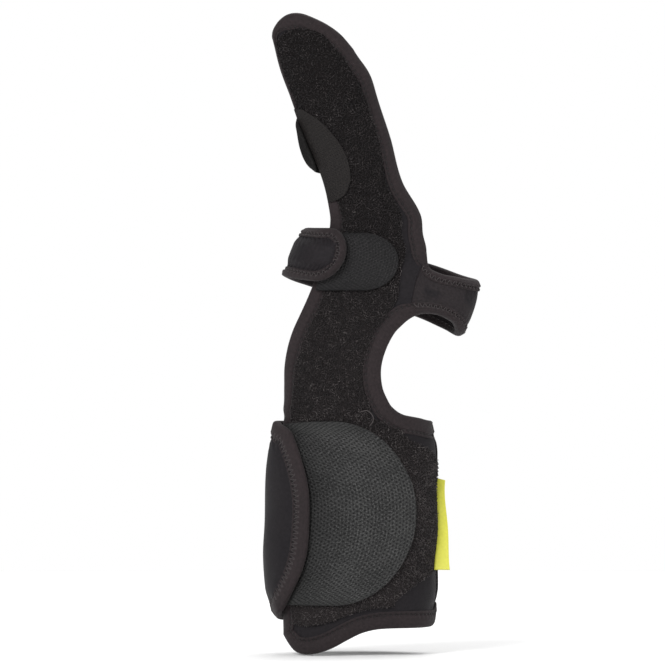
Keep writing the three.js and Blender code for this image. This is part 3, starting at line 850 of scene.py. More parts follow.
# Raised spots on the weave. The finishes blend them to a pale colour as painted glints.
glint_bumps = step(hook_weave, fine_noise, *GLINT_BUMP_RANGE)
plug(hook_weave, made["Pits"], pits)
plug(hook_weave, made["Glint Bumps"], glint_bumps)
height = sums(hook_weave, "MULTIPLY_ADD", glint_bumps, GLINT_BUMP_HEIGHT, sums(hook_weave, "SUBTRACT", 1.0, pits))
plug(hook_weave, made["Height"], height)
print("group:", hook_weave.name)


# %% Finish makers
def finish(name, roughness, specular, sheen=0.0, sheen_roughness=0.5):
    """A material with plain values on its shader, and the places on the cloth that its nodes read."""
    material = bpy.data.materials.new(name)
    material.use_nodes = True
    tree = material.node_tree
    shader = tree.nodes["Principled BSDF"]
    shader.inputs["Roughness"].default_value = roughness
    shader.inputs["Specular IOR Level"].default_value = specular
    shader.inputs["Sheen Weight"].default_value = sheen
    shader.inputs["Sheen Roughness"].default_value = sheen_roughness
    cloth = add(tree, "UVMap", {}, uv_map=CLOTH_MAP)["UV"]
    edge = add(tree, "Attribute", {}, attribute_name=EDGE_ATTRIBUTE)["Fac"]
    return material, tree, shader, cloth, edge


def raise_bump(tree, shader, height, distance, strength=1.0):
    """Turns a height in the range 0 to 1 into a relief of that many millimetres."""
    inputs = {"Height": height, "Distance": distance * MM, "Strength": strength}
    plug(tree, shader.inputs["Normal"], add(tree, "Bump", inputs)["Normal"])


# %% Knitted finishes
KNIT_WANDER = 0.6
VALLEY_SHADE = 0.6
PAINTED_SHADE_COLOUR = (0.004, 0.004, 0.004, 1)
PATCH_ROUGHNESS = (-0.05, 0.08)
EDGE_REACH = 1.2
JERSEY = {"rib": 0.5, "course": 0.42, "relief": 0.06}
TAPE = {"rib": 0.62, "course": 0.5, "relief": 0.09}
ELASTIC = {"rib": 0.8, "course": 0.5, "relief": 0.12}


def knit_finish(name, knit, colour, faded, shine, fade, lint, reach=EDGE_REACH, needle_shade=0.0, wear_and_painted_light=None):
    """Knitted cloth with ribs, fading, rubbed edges and lint, and painted shade in rib valleys and needle
    holes.
    """
    material, tree, shader, cloth, edge = finish(name, **shine)
    ribs = {"Cloth": cloth, "Rib": knit["rib"], "Course": knit["course"], "Wander": KNIT_WANDER}
    ribs = place_group(tree, knit_ribs, ribs)
    wear = {"Cloth": cloth, "Edge": edge, "Colour": colour, "Faded": faded}
    wear |= {"Fade": fade, "Edge Reach": reach, "Lint": lint}
    # Painted light: the fade is raised along one stretch of the cloth, which paints that stretch paler.
    if wear_and_painted_light:
        along = add(tree, "SeparateXYZ", {"Vector": cloth})["X"]
        wear["Fade"] = step(tree, along, wear_and_painted_light["from"], wear_and_painted_light["to"], wear_and_painted_light["fade"], fade)
    worn_colour = place_group(tree, cloth_wear, wear)
    # Painted shade: the valleys between ribs are darkened towards a near-black colour.
    shade = sums(tree, "MULTIPLY", ribs["Valley"], VALLEY_SHADE)
    # Painted shade at the needle holes beside a seam, in the same near-black colour.
    if needle_shade:
        seam = {"Cloth": cloth, "Inset": STITCH_INSET, "Pitch": STITCH_PITCH}
        needle = place_group(tree, needle_hole_shade, seam)
        shade = sums(tree, "MAXIMUM", shade, sums(tree, "MULTIPLY", needle["Hole Shade"], needle_shade))
    plug(tree, shader.inputs["Base Color"], blend(tree, shade, worn_colour["Colour"], PAINTED_SHADE_COLOUR))
    smooth, rough = (shine["roughness"] + change for change in PATCH_ROUGHNESS)
    plug(tree, shader.inputs["Roughness"], step(tree, worn_colour["Patch"], 0.0, 1.0, smooth, rough))
    raise_bump(tree, shader, ribs["Height"], knit["relief"])
    return material


neoprene_jersey = knit_finish(
    "neoprene_jersey",
    JERSEY,
    colour=(0.0097, 0.0082, 0.01, 1),
    faded=(0.015, 0.0127, 0.0142, 1),
    shine={"roughness": 0.55, "specular": 0.1, "sheen": 0.02},
    fade=0.6,
    lint=0.35,
)
# Painted light: this copy of the jersey is paler towards the strap's root end than on its tab.
hand_jersey = knit_finish(
    "hand_strap_jersey",
    JERSEY,
    colour=(0.0102, 0.0086, 0.0104, 1),
    faded=(0.0215, 0.0175, 0.0188, 1),
    shine={"roughness": 0.6, "specular": 0.1, "sheen": 0.02},
    fade=0.4,
    lint=0.35,
    wear_and_painted_light={"from": -60.0, "to": 40.0, "fade": 3.0},
)
hem_tape = knit_finish(
    "hem_tape",
    TAPE,
    colour=(0.0172, 0.0124, 0.0134, 1),
    faded=(0.0268, 0.0197, 0.021, 1),
    shine={"roughness": 0.75, "specular": 0.15, "sheen": 0.05},
    fade=0.6,
    lint=0.3,
    reach=1.6,
    needle_shade=0.7,
)
strap_elastic = knit_finish(
    "strap_elastic",
    ELASTIC,
    colour=(0.0084, 0.0079, 0.0077, 1),
    faded=(0.015, 0.0141, 0.0137, 1),
    shine={"roughness": 0.75, "specular": 0.06, "sheen": 0.0},
    fade=0.5,
    lint=0.2,
)
print("finishes:", neoprene_jersey.name, hand_jersey.name, hem_tape.name, strap_elastic.name)

# %% Sewing threads
THREAD_STRANDS = 2
THREAD_TWIST = 9.0
THREAD_RELIEF = 0.08


def thread_finish(name, dark, light):
    """Twisted thread: two wound strands, with painted shade between them and a painted highlight on top."""
    material, tree, shader, cloth, edge = finish(name, roughness=0.55, specular=0.35)
    place = add(tree, "SeparateXYZ", {"Vector": cloth})
    wound = sums(tree, "MULTIPLY", place["Y"], THREAD_TWIST)
    twist = sums(tree, "MULTIPLY_ADD", place["X"], THREAD_STRANDS * TURN, wound)
    strand = step(tree, sums(tree, "COSINE", twist), -1.0, 1.0)
    plug(tree, shader.inputs["Base Color"], blend(tree, strand, dark, light))
    raise_bump(tree, shader, strand, THREAD_RELIEF)
    return material


# Each thread has a colour for the painted shade between its strands and one for the painted highlight on
# top.
sewing_thread = thread_finish("sewing_thread", (0.0045, 0.0038, 0.004, 1), (0.017, 0.0142, 0.0148, 1))
zigzag_thread = thread_finish("zigzag_thread", (0.016, 0.0125, 0.013, 1), (0.056, 0.047, 0.048, 1))
print("finishes:", sewing_thread.name, zigzag_thread.name)

# %% [markdown]
# ## The body
# The body is one sheet of foam rubber with a knitted face on each side. It is cut with a lobe at the bottom,
# a deep cut-out at the outer side above the cuff, and a rounded tip. The rows of the grid crowd where its
# edges run out sideways, so that the cut-out and the lobe stay smooth. A little random height keeps the foam
# from looking like a rolled plate.


# %% Body sheet
EDGE_STOPS = 1500
BODY_GRID = {"rows": 230, "columns": 56}
FOAM_FACE = 0.1
FOAM_INSIDE = 0.05


def edge_shares(place, count):
    """Shares along a sheet that advance evenly along its longer side edge."""
    fine = np.linspace(0, 1, EDGE_STOPS)
    sides = (form_point(*place(side, fine), SHELL) for side in (0.0, 1.0))
    steps = np.maximum(*(np.linalg.norm(np.diff(side, axis=0), axis=-1) for side in sides))
    length = np.r_[0, np.cumsum(steps)]
    return np.interp(np.linspace(0, length[-1], count), length, fine)


def half_turn(count):
    """Shares from 0 to 1 that start and end as slowly as a half turn seen from the side."""
    return (1 - np.cos(np.pi * np.linspace(0, 1, count))) / 2


def crowded(count):
    """Shares from 0 to 1 that crowd a little towards both ends."""
    return (np.linspace(0, 1, count) + half_turn(count)) / 2


body_rows = edge_shares(body_place, BODY_GRID["rows"])
across, along = np.meshgrid(crowded(BODY_GRID["columns"]), body_rows)
angle, z = body_place(across, along)
body_outer = form_point(angle, z, SHELL + FOAM_FACE * lumps(angle, z, size=7.0, seed=1))
body_inner = form_point(angle, z, FOAM_INSIDE * lumps(angle, z, size=5.0, seed=2))
body = sheet_piece("body_neoprene", body_outer, body_inner, neoprene_jersey)
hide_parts("body_shell")

# %% [markdown]
# ## Loop pile
# The front of the body carries a brushed loop fabric, the soft half of a hook-and-loop fastening. Up close
# it is a mat of tiny nylon loops that lean every way, and from a distance it reads as a dark woolly speckle.
# Bump alone would leave its edge hard and its surface flat in raking light. Here a lumpy backing sheet holds
# thousands of small arched threads, each with its own tint, paler at the cuff and darkened in the trough by
# painted shade.
# None stand where a hook tab presses on the pile or the label is sewn in. One longer loop was pulled out.

# %% Facing sheet
FACING_LOW = -40.2
FACING_HIGH = 196.4
FACING_GROW = 2.3
FACING_TOP = 3.45
FACING_UNDER = 0.14
FACING_GRID = {"rows": 300, "columns": 64}
FACING_UNEVEN = 0.16
RIM_DROP = 0.45
RIM_SHARE = 0.012
FACING_INSET = table(
    "z left right",
    [
        (-50, 8.8, 36),
        (-41, 8.8, 35),
        (-37, 8.8, 33),
        (-33, 8.8, 28),
        (-29, 8.8, 20),
        (-26, 8.8, 12),
        (-22.5, 8.8, 5),
        (-19, 8.8, 3),
        (17, 8.8, 3),
        (25.5, 8.8, 10),
        (32, 8.8, 26),
        (38, 8.8, 27),
        (43, 8.7, 13),
        (48, 9.4, 9.6),
        (56, 9.6, 9),
        (64, 9.8, 8.4),
        (75, 10, 9),
        (84, 9.8, 10.8),
        (93, 9.2, 8.6),
        (108, 8.6, 11.4),
        (122, 8.2, 12.8),
        (139, 6.6, 10.6),
        (158, 4.4, 9),
        (180, 4.2, 9.4),
        (190, 4.4, 13.5),
        (197, 4.2, 19.5),
    ],
)


def facing_place(across, along):
    """Angle and height of places on the facing, which stops short of the body's side edges."""
    level = mix(FACING_LOW, FACING_HIGH, along)
    width = body_width(body_share(level))
    left = (read(FACING_INSET, "left", level) - FACING_GROW) / width
    right = (read(FACING_INSET, "right", level) - FACING_GROW) / width
    return body_place(mix(left, 1 - right, across), body_share(level))


facing_rows = edge_shares(facing_place, FACING_GRID["rows"])
across, along = np.meshgrid(crowded(FACING_GRID["columns"]), facing_rows)
angle, z = facing_place(across, along)
rim_drop = RIM_DROP * np.maximum(1 - np.minimum(across, 1 - across) / RIM_SHARE, 0)
uneven = FACING_UNEVEN * lumps(angle, z, size=1.7, seed=3)
facing_outer = form_point(angle, z, FACING_TOP - rim_drop + uneven)
facing_inner = form_point(angle, z, SHELL + FACING_UNDER)
facing_cut = form_point(angle, z, FACING_TOP)
print("facing grid:", facing_outer.shape[:2])

# %% Finish of the pile's backing
PILE_COLOUR = (0.015, 0.013, 0.013, 1)
PILE_FADED = (0.022, 0.019, 0.019, 1)
PILE_SHADOW = (0.006, 0.005, 0.0053, 1)
PILE_TONES = (
    {"low": 60.0, "high": 100.0, "start": 1.5, "end": 1.0},
    {"low": 145.0, "high": 185.0, "start": 1.0, "end": 0.7},
)
CURL_SHADE = (0.62, 0.35)
PILE_RELIEF = 0.5

pile_backing, tree, shader, cloth, edge = finish("pile_backing", roughness=0.95, specular=0.08)
curls = add(tree, "TexNoise", {"Vector": cloth, "Scale": 0.9, "Detail": 6.0, "Roughness": 0.7})["Fac"]
wear = {"Cloth": cloth, "Edge": edge, "Colour": PILE_COLOUR, "Faded": PILE_FADED}
faded = place_group(tree, cloth_wear, wear | {"Fade": 0.5, "Edge Reach": 0.5, "Lint": 0.25})
shaded = blend(tree, step(tree, curls, *CURL_SHADE), faded["Colour"], PILE_SHADOW)
# Paler towards the cuff, and darker in the trough as painted shade.
along = add(tree, "SeparateXYZ", {"Vector": cloth})["Y"]
at_cuff, in_trough = (step(tree, along, **tone) for tone in PILE_TONES)
tone = sums(tree, "MULTIPLY", at_cuff, in_trough)
toned = add(tree, "VectorMath", {0: shaded, 3: tone}, operation="SCALE")["Vector"]
plug(tree, shader.inputs["Base Color"], toned)
raise_bump(tree, shader, curls, PILE_RELIEF)

# %% Facing piece
facing = sheet_piece("loop_pile_facing", facing_outer, facing_inner, pile_backing)
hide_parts("loop_facing")

# %% Finish of the pile's loops
LOOP_TINTS = {
    0.0: (0.0066, 0.0057, 0.0061),
    0.45: (0.018, 0.0155, 0.0159),
    0.8: (0.042, 0.0364, 0.0366),
    1.0: (0.085, 0.076, 0.075),
}
pile_loop, tree, shader, cloth, edge = finish("pile_loop", roughness=0.7, specular=0.18, sheen=0.05)
tint = add(tree, "SeparateXYZ", {"Vector": cloth})["X"]
ramp = add(tree, "ValToRGB", {"Fac": tint})
colours = tree.nodes[-1].color_ramp.elements
for share, colour in LOOP_TINTS.items():
    stop = colours[0] if share == 0 else colours[-1] if share == 1 else colours.new(share)
    stop.color = (*colour, 1)
plug(tree, shader.inputs["Base Color"], ramp["Color"])
print("finishes:", pile_backing.name, pile_loop.name)

# %% [markdown]
# ## Hook tabs
# Each strap is held by a tab of hook tape: a large D on the cuff, a rounded one above it and a narrow
# leaf on the trough. What shows is the woven back of the tape, with a staggered field of small pits where
# the hooks are anchored. The hooks themselves bite into the pile underneath. The tab is a thin stiff sheet
# whose heat-cut rim is a little lighter, so its grid is dense and its last rows bend down to round the rim.

# %% Shapes of the tabs
WRIST_LOW = -45.6
WRIST_HIGH = 38.6
WRIST_START = 89.8
WRIST_BOW = {"angle": 324.4, "depth": 29.6, "middle": 1.04, "power": 2.8, "corner": 10, "corner_from": 0.86}
WRIST_TAB = {"middle": 0.0, "half": 39.5, "lift": 4.2, "thick": 0.9, "slope": 2.4}
WRIST_D = {"straight": -8.0, "reach": 34.7, "tuck": 11.0}
HAND_TAB = {"middle": 108.0, "half": 12.4, "lift": 4.2, "thick": 0.9, "slope": 0.0}
HAND_D = {"straight": 4.5, "reach": 15.5, "from": -39.0}
FINGER_TAB = {"middle": 153.5, "half": 19.9, "lift": 3.85, "thick": 0.65, "slope": 0.0}
FINGER_TAB_INSET = 2.5
FINGER_LEAF = table(
    "z right",
    [
        (133.6, -9.3),
        (135.5, -5.2),
        (138.5, -2.6),
        (143.6, -1),
        (148, -1.3),
        (153, -2.6),
        (159.1, -6),
        (163.4, -9.5),
        (167.7, -13.8),
        (170.7, -18),
        (173.4, -22.3),
    ],
)


def oval(offset, half):
    """Width of a half oval as a share of its reach."""
    return np.sqrt(np.maximum(0, 1 - (offset / half) ** 2))


def wrist_end(share):
    """Angle at which the wrist strap ends, at each share across it. Its corners are rounded off."""
    corner = ease(np.abs(2 * share - 1), WRIST_BOW["corner_from"], 1) ** 2
    bow = np.abs(2 * share - WRIST_BOW["middle"]) ** WRIST_BOW["power"]
    return WRIST_BOW["angle"] - WRIST_BOW["depth"] * bow - WRIST_BOW["corner"] * corner


def wrist_tab_angles(z):
    """Start and end angle of the wrist tab at each height."""
    start = wrist_end((z - WRIST_LOW) / (WRIST_HIGH - WRIST_LOW)) - 360 - WRIST_D["tuck"]
    return start, angle_at(WRIST_D["straight"] + WRIST_D["reach"] * oval(z, WRIST_TAB["half"]), z)


def hand_tab_angles(z):
    """Start and end angle of the hand strap's tab at each height."""
    x = HAND_D["straight"] + HAND_D["reach"] * oval(z - HAND_TAB["middle"], HAND_TAB["half"])
    return np.full_like(z, HAND_D["from"]), angle_at(x, z)


def finger_tab_angles(z):
    """Start and end angle of the leaf on the trough at each height. It starts at the body's edge."""
    start = angle_at(read(BODY_EDGES, "left", z), z) + FINGER_TAB_INSET
    return start, angle_at(read(FINGER_LEAF, "right", z), z, FINGER_TAB["lift"] + FINGER_TAB["thick"])


TABS = {
    "wrist": (WRIST_TAB, wrist_tab_angles),
    "hand": (HAND_TAB, hand_tab_angles),
    "finger": (FINGER_TAB, finger_tab_angles),
}


# %% Hook tape finishes
PIT_SHADE_COLOUR = (0.0045, 0.0045, 0.0048, 1)
GLINT_SHARE = 0.8
HOOK_RELIEF = 0.2
LEFT_SHADE_SPAN = (-24.0, 2.0)
# Light is the colour of the painted glints and of the faded patches. The last value says how dark painted
# shade makes the side by the strap's end.
HOOK_COLOURS = {
    "wrist": {"ground": (0.0145, 0.0145, 0.0145, 1), "light": (0.076, 0.076, 0.075, 1), "painted_shade": 0.3},
    "hand": {"ground": (0.006, 0.0056, 0.006, 1), "light": (0.029, 0.0275, 0.0285, 1), "painted_shade": 1.0},
    "finger": {"ground": (0.0078, 0.0063, 0.006, 1), "light": (0.019, 0.0165, 0.0155, 1), "painted_shade": 1.0},
}
HOOK_WEAVES = {
    "wrist": {"Column": 1.58, "Pitch": 1.78, "Pit": 0.44},
    "hand": {"Column": 1.3, "Pitch": 1.4, "Pit": 0.44},
    "finger": {"Column": 1.2, "Pitch": 1.3, "Pit": 0.26},
}


def hook_finish(strap):
    """Woven back of hook tape: painted glints, and painted shade in the pits and by the strap's end."""
    material, tree, shader, cloth, edge = finish(f"{strap}_hook_weave", roughness=0.6, specular=0.16)
    colours = HOOK_COLOURS[strap]
    weave = place_group(tree, hook_weave, {"Cloth": cloth} | HOOK_WEAVES[strap])
    wear = {"Cloth": cloth, "Edge": edge, "Colour": colours["ground"], "Faded": colours["light"]}
    wear |= {"Fade": 0.25, "Edge Reach": 0.7, "Lint": 0.2}
    worn_colour = place_group(tree, cloth_wear, wear)["Colour"]
    # Painted glints on the raised spots, and painted shade in the pits, which turn near-black.
    painted_glint = sums(tree, "MULTIPLY", weave["Glint Bumps"], GLINT_SHARE)
    pitted = blend(tree, weave["Pits"], blend(tree, painted_glint, worn_colour, colours["light"]), PIT_SHADE_COLOUR)
    # Painted shade: the wrist tab is darkened towards its left side, where it lies by the strap's end.
    aside = add(tree, "SeparateXYZ", {"Vector": cloth})["X"]
    shade = step(tree, aside, *LEFT_SHADE_SPAN, colours["painted_shade"], 1.0)
    shaded_left = add(tree, "VectorMath", {0: pitted, 3: shade}, operation="SCALE")["Vector"]
    plug(tree, shader.inputs["Base Color"], shaded_left)
    raise_bump(tree, shader, weave["Height"], HOOK_RELIEF)
    return material


hook_finishes = {strap: hook_finish(strap) for strap in TABS}
print("finishes:", ", ".join(m.name for m in hook_finishes.values()))


# %% Hook tab pieces
TAB_GRID = {"wrist": (150, 90), "hand": (70, 60), "finger": (90, 44)}
TAB_RIM = {"drop": 0.25, "share": 0.03, "across": 2, "along": 8}
TAB_UNEVEN = 0.05


def tab_piece(strap):
    """A hook tab as a thin sheet whose rim is rounded over."""
    shape, angles = TABS[strap]
    rows, columns = TAB_GRID[strap]
    across, along = np.meshgrid(crowded(columns), half_turn(rows))
    z = shape["middle"] + shape["half"] * (2 * along - 1)
    angle = mix(*angles(z), across)
    z = z - shape["slope"] * along**3 * (1 - across) ** 2
    to_side = np.minimum(across, 1 - across) * TAB_RIM["across"]
    to_end = np.minimum(along, 1 - along) * TAB_RIM["along"]
    rounded = TAB_RIM["drop"] * np.maximum(1 - np.minimum(to_side, to_end) / TAB_RIM["share"], 0)
    top = shape["lift"] + shape["thick"]
    outer = form_point(angle, z, top - rounded + TAB_UNEVEN * lumps(angle, z, size=6.0, seed=21))
    inner = form_point(angle, z, shape["lift"])
    piece = sheet_piece(f"{strap}_hook_tape", outer, inner, hook_finishes[strap])
    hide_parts(f"{strap}_hook_tab")
    declare_sheet(piece, outer)


for strap in TABS:
    tab_piece(strap)

# %% Roots of the pile's loops
LOOP_SPACING = 0.78
LOOP_ROOT = 3.25
LEVEL_STOPS = 40
UNDER_TAB = 1.0
LABEL = {"low": -24.7, "high": 15.0, "lean": 15.0}
LABEL_CLEAR = {"beside": 4.5, "above": 0.5}


def under_tab(angle, z, margin):
    """Whether a place lies below a hook tab, further in than a margin in millimetres."""
    covered = np.zeros(np.shape(z), bool)
    for shape, angles in TABS.values():
        inside = np.abs(z - shape["middle"]) < shape["half"] - margin
        start, end = angles(z)
        turn = np.degrees(margin / read(FORM, "half_width", z))
        covered |= inside & (angle > start + turn) & (angle < end - turn)
    return covered


def label_root(z):
    """Angle at which the side label leaves the cuff. It leans to the front towards its lower end."""
    return 90 - LABEL["lean"] * (LABEL["high"] - z) / (LABEL["high"] - LABEL["low"])


def at_label(angle, z):
    """Whether a place lies close to the root of the side label."""
    margin = LABEL_CLEAR["above"]
    beside = (z > LABEL["low"] - margin) & (z < LABEL["high"] + margin)
    return beside & (angle > label_root(z) - LABEL_CLEAR["beside"])


draw = np.random.default_rng(5)
levels = np.arange(0, 1, LOOP_SPACING / (FACING_HIGH - FACING_LOW))
roots = []
for level in levels:
    side = np.linspace(0, 1, LEVEL_STOPS)
    points = form_point(*facing_place(side, np.full(LEVEL_STOPS, level)), LOOP_ROOT)
    count = int(run_lengths(points)[-1] / LOOP_SPACING)
    share = (np.arange(count) + draw.uniform(0, 1, count)) / count
    near_level = level + draw.uniform(-0.5, 0.5, count) * levels[1]
    roots.append(np.stack([share, np.clip(near_level, 0, 1)], -1))
roots = np.concatenate(roots)
loop_angle, loop_z = facing_place(*roots.T)
free = ~under_tab(loop_angle, loop_z, UNDER_TAB) & ~at_label(loop_angle, loop_z)
loop_angle, loop_z = loop_angle[free], loop_z[free]
print("loops:", len(loop_z))


# %% Loop pieces
LOOP_RADIUS = 0.12
LOOP_STOPS = 4
LOOP_SIDES = 3
LOOP_RANGES = {"span": (0.5, 1.3), "tall": (0.3, 0.85), "lean": (-0.6, 0.6), "thick": (0.7, 1.3)}
LOOP_ARCH = 4.5
LOOP_SIDEWAYS = 0.5
ANGLE_NUDGE = 0.1
TINT = {"own": 0.55, "own_power": 1.5, "clump": 0.58}
CLUMP = {"size": 1.9, "seed": 41}
PALER_AT_CUFF = {"tint": 0.2, "range": (25, 50)}
SHADED_DARK = {"tint": 0.1, "range": (110, 140)}
SPLIT_Z = 62.0


def loop_piece(name, angle, z):
    """Small arched threads that stand on the facing and lean every way."""
    count = len(z)
    root = form_point(angle, z, LOOP_ROOT)
    out = unit(form_point(angle, z, LOOP_ROOT + 1) - root)
    round_it = unit(form_point(angle + ANGLE_NUDGE, z, LOOP_ROOT) - root)
    up = np.cross(round_it, out)
    heading = draw.uniform(0, TURN, count)[:, None]
    ahead = np.cos(heading) * round_it + np.sin(heading) * up
    beside = np.cross(out, ahead)
    span, tall, lean = (
        draw.uniform(*LOOP_RANGES[kind], count)[:, None, None] for kind in ("span", "tall", "lean")
    )
    share = np.linspace(0, 1, LOOP_STOPS)[:, None]
    arch = LOOP_ARCH * share * (1 - share)
    raised = out[:, None] * tall + beside[:, None] * lean * LOOP_SIDEWAYS
    lines = root[:, None] + ahead[:, None] * span * (share - 0.5) + arch * raised
    radius = LOOP_RADIUS * draw.uniform(*LOOP_RANGES["thick"], count)
    points, faces, along = thread_mesh(lines, beside, radius, LOOP_SIDES, np.ones(LOOP_STOPS))
    clump = 0.5 + 0.5 * lumps(root[:, 0], root[:, 2], **CLUMP)
    # Loops are paler towards the cuff, and in the trough they get painted shade.
    pale = PALER_AT_CUFF["tint"] * (1 - ease(z, *PALER_AT_CUFF["range"]))
    dark = SHADED_DARK["tint"] * ease(z, *SHADED_DARK["range"])
    own = TINT["own"] * draw.uniform(0, 1, count) ** TINT["own_power"]
    tint = np.clip(own + TINT["clump"] * clump + pale - dark, 0, 1)
    cloth = np.stack([np.repeat(tint, LOOP_STOPS * LOOP_SIDES), along], -1)
    far = np.full(len(points), FAR_FROM_EDGE)
    piece = mesh_piece(name, points, faces, cloth, far, pile_loop, caps=2 * count)
    return piece


low = loop_z < SPLIT_Z
loops = [
    loop_piece("pile_loops_cuff", loop_angle[low], loop_z[low]),
    loop_piece("pile_loops_trough", loop_angle[~low], loop_z[~low]),
]

# %% A loop that was pulled out
PULLED_LOOP = table(
    "share x z lift",
    [
        (0, 3.2, 43.4, 3.6),
        (0.3, 6.4, 44.1, 4.4),
        (0.55, 8.6, 42, 4.8),
        (0.78, 8.8, 39.6, 4.4),
        (1, 7.4, 37.4, 3.6),
    ],
)
PULLED_RADIUS = 0.17
PULLED_STOPS = 24
PULLED_SIDES = 5
PULLED_TINT = 0.93

share = np.linspace(0, 1, PULLED_STOPS)
x, z, lift = (read(PULLED_LOOP, column, share) for column in ("x", "z", "lift"))
line = form_point(angle_at(x, z), z, lift)
outward = np.array([[0.0, -1.0, 0.0]])
taper = np.ones(PULLED_STOPS)
points, faces, along = thread_mesh(line[None], outward, PULLED_RADIUS, PULLED_SIDES, taper)
cloth = np.stack([np.full_like(along, PULLED_TINT), along], -1)
far = np.full(len(points), FAR_FROM_EDGE)
pulled_loop = mesh_piece("pulled_loop", points, faces, cloth, far, pile_loop, caps=2)
declare_sheet(facing, facing_cut)

# %% [markdown]
# ## Wrist strap
# The wide wrist strap is sewn to the cuff at the outer side, goes round the back, and comes over the inner
# side to end in a bow-shaped edge on the front. Its foam swells between the hems, and its hem's seam gathers
# the cloth beside it into short puckers. It is a sheet over the form whose lift climbs where it passes over
# the body, with the swelling and puckers added by the distance to its edges.

# %% Places on the wrist strap
WRIST_TAPE_WIDTH = 7.0
WRIST_CLIMB = (205.0, 290.0)
HUG_START = (215, 255)
HUGS = {
    "high": {"depth": 5.6, "power": 5, "until": (270, 287)},
    "low": {"depth": 4.5, "power": 6, "until": (283, 300)},
}
PUCKER = {"reach": 4.5, "fade": 1.6, "middle": 1.0, "from": -0.5, "stray": 1.5}


def wrist_wrap(angle, z, lift):
    """Points on the wrist strap. It climbs over the body, and its edges hug the inner side."""
    share = (z - WRIST_LOW) / (WRIST_HIGH - WRIST_LOW)
    to_edge = np.abs(2 * share - 1)
    high_hug, low_hug = (
        hug["depth"] * to_edge ** hug["power"] * (1 - ease(angle, *hug["until"])) for hug in HUGS.values()
    )
    hug = ease(angle, *HUG_START) * np.where(share > 0.5, high_hug, low_hug)
    return form_point(angle, z, STRAP_LIFT * ease(angle, *WRIST_CLIMB) - hug + lift)


def wrist_place(along, across):
    """Angle and height of a place on the wrist strap, from its root to its end."""
    return mix(WRIST_START, wrist_end(across), along), mix(WRIST_LOW, WRIST_HIGH, across)


def puckers(depth, run, tape, pitch):
    """Short gathers beside a hem's seam, which fade within a few millimetres."""
    beyond = depth - tape
    near = np.exp(-((beyond - PUCKER["middle"]) / PUCKER["reach"] * PUCKER["fade"]) ** 2)
    stray = PUCKER["stray"] * lumps(run, depth, size=9.0, seed=31)
    return near * (beyond > PUCKER["from"]) * (0.5 + 0.5 * np.cos(TURN * run / pitch + stray))


# %% Wrist strap sheet
WRIST_GRID = {"rows": 80, "columns": 230, "crowding": 1.35}
WRIST_LENGTH = 150.0
WRIST_SWELL = {"height": 0.85, "before": 2, "beyond": 6}
WRIST_GATHER = 0.3
WRIST_UNEVEN = 0.12

columns = 1 - (1 - np.linspace(0, 1, WRIST_GRID["columns"])) ** WRIST_GRID["crowding"]
along, across = np.meshgrid(columns, crowded(WRIST_GRID["rows"]))
angle, z = wrist_place(along, across)
width = WRIST_HIGH - WRIST_LOW
to_side = np.minimum(across, 1 - across) * width
to_end = (1 - along) * WRIST_LENGTH
depth = np.minimum(to_side, to_end)
run = np.where(to_side < to_end, along * WRIST_LENGTH, across * width)
swell_start = WRIST_TAPE_WIDTH - WRIST_SWELL["before"]
swell = WRIST_SWELL["height"] * ease(depth, swell_start, WRIST_TAPE_WIDTH + WRIST_SWELL["beyond"])
gathers = puckers(depth, run, WRIST_TAPE_WIDTH, 2 * STITCH_PITCH)
uneven = WRIST_UNEVEN * swell * lumps(angle, z, size=11.0, seed=4)
wrist_outer = wrist_wrap(angle, z, STRAP + (swell + WRIST_GATHER * gathers + uneven))
wrist_inner = wrist_wrap(angle, z, np.zeros_like(z))
wrist_strap = sheet_piece("wrist_strap_neoprene", wrist_outer, wrist_inner, neoprene_jersey)
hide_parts("wrist_strap")

# %% [markdown]
# ## Hand strap
# The hand strap leaves the body's outer edge, goes round the back, and comes through to the front as a
# plump rounded tab. Its two edges are drawn as separate rails, because it narrows, twists a little and
# leans. The sheet spans the rails and puffs out between them, most of all where it turns onto the front.
# At that turn its lower edge flares outward, as a stiff hem does on a tight bend.

# %% Places on the hand strap
HAND_STRAP = table(
    "station x_low y_low z_low x_high y_high z_high puff",
    [
        (0, 24.5, -17.5, 84.5, 29, -12, 116, 0),
        (1, 34, -15, 86.4, 34.2, -12.5, 103.6, 0),
        (2, 42.6, -9, 82.8, 45.8, -8.5, 100.4, 1.2),
        (3, 44.4, 0, 77.6, 52, 0.5, 100.1, 2.2),
        (4, 39, 9, 80.5, 46.2, 9.5, 102, 1.2),
        (5, 28, 14, 85.5, 33.5, 14.5, 106.6, 0),
        (6, 11.5, 16, 90.6, 13, 16.2, 112, 0),
        (7, -7, 14.5, 95.6, -7.5, 14.5, 117, 0),
        (8, -18.5, 8.5, 99, -16.5, 9, 119.8, 0.8),
        (9, -24.6, 0, 101.2, -17.6, 1.5, 121, 2),
        (10, -23.6, -9, 101.2, -16.8, -8, 121.4, 2.4),
        (11, -16.5, -17.5, 100.4, -13.5, -15.5, 121.5, 1.6),
        (12, -5, -22, 100.2, -5, -20, 121.5, 1),
    ],
)
HAND_ROOT_LAP = 0.15
HAND_ROOT_END = 1.3
HAND_WEB = 9.1
HAND_LANDED = 11.0
HAND_END = 12.0
HAND_END_ROUND = 1.2
HAND_TAB_ANGLES = (-66.0, -22.6)
HAND_TAPE_WIDTH = 3.6
HAND_FLARE = {"height": 2.2, "reach": 0.28, "rise": (8, 9), "fall": (9.6, 11)}
RAIL_NUDGE = 0.01


def hand_rail(station, across):
    """Places between the strap's two edges."""
    low = np.stack([read(HAND_STRAP, axis + "_low", station) for axis in "xyz"], -1)
    high = np.stack([read(HAND_STRAP, axis + "_high", station) for axis in "xyz"], -1)
    return mix(low, high, np.asarray(across)[..., None])


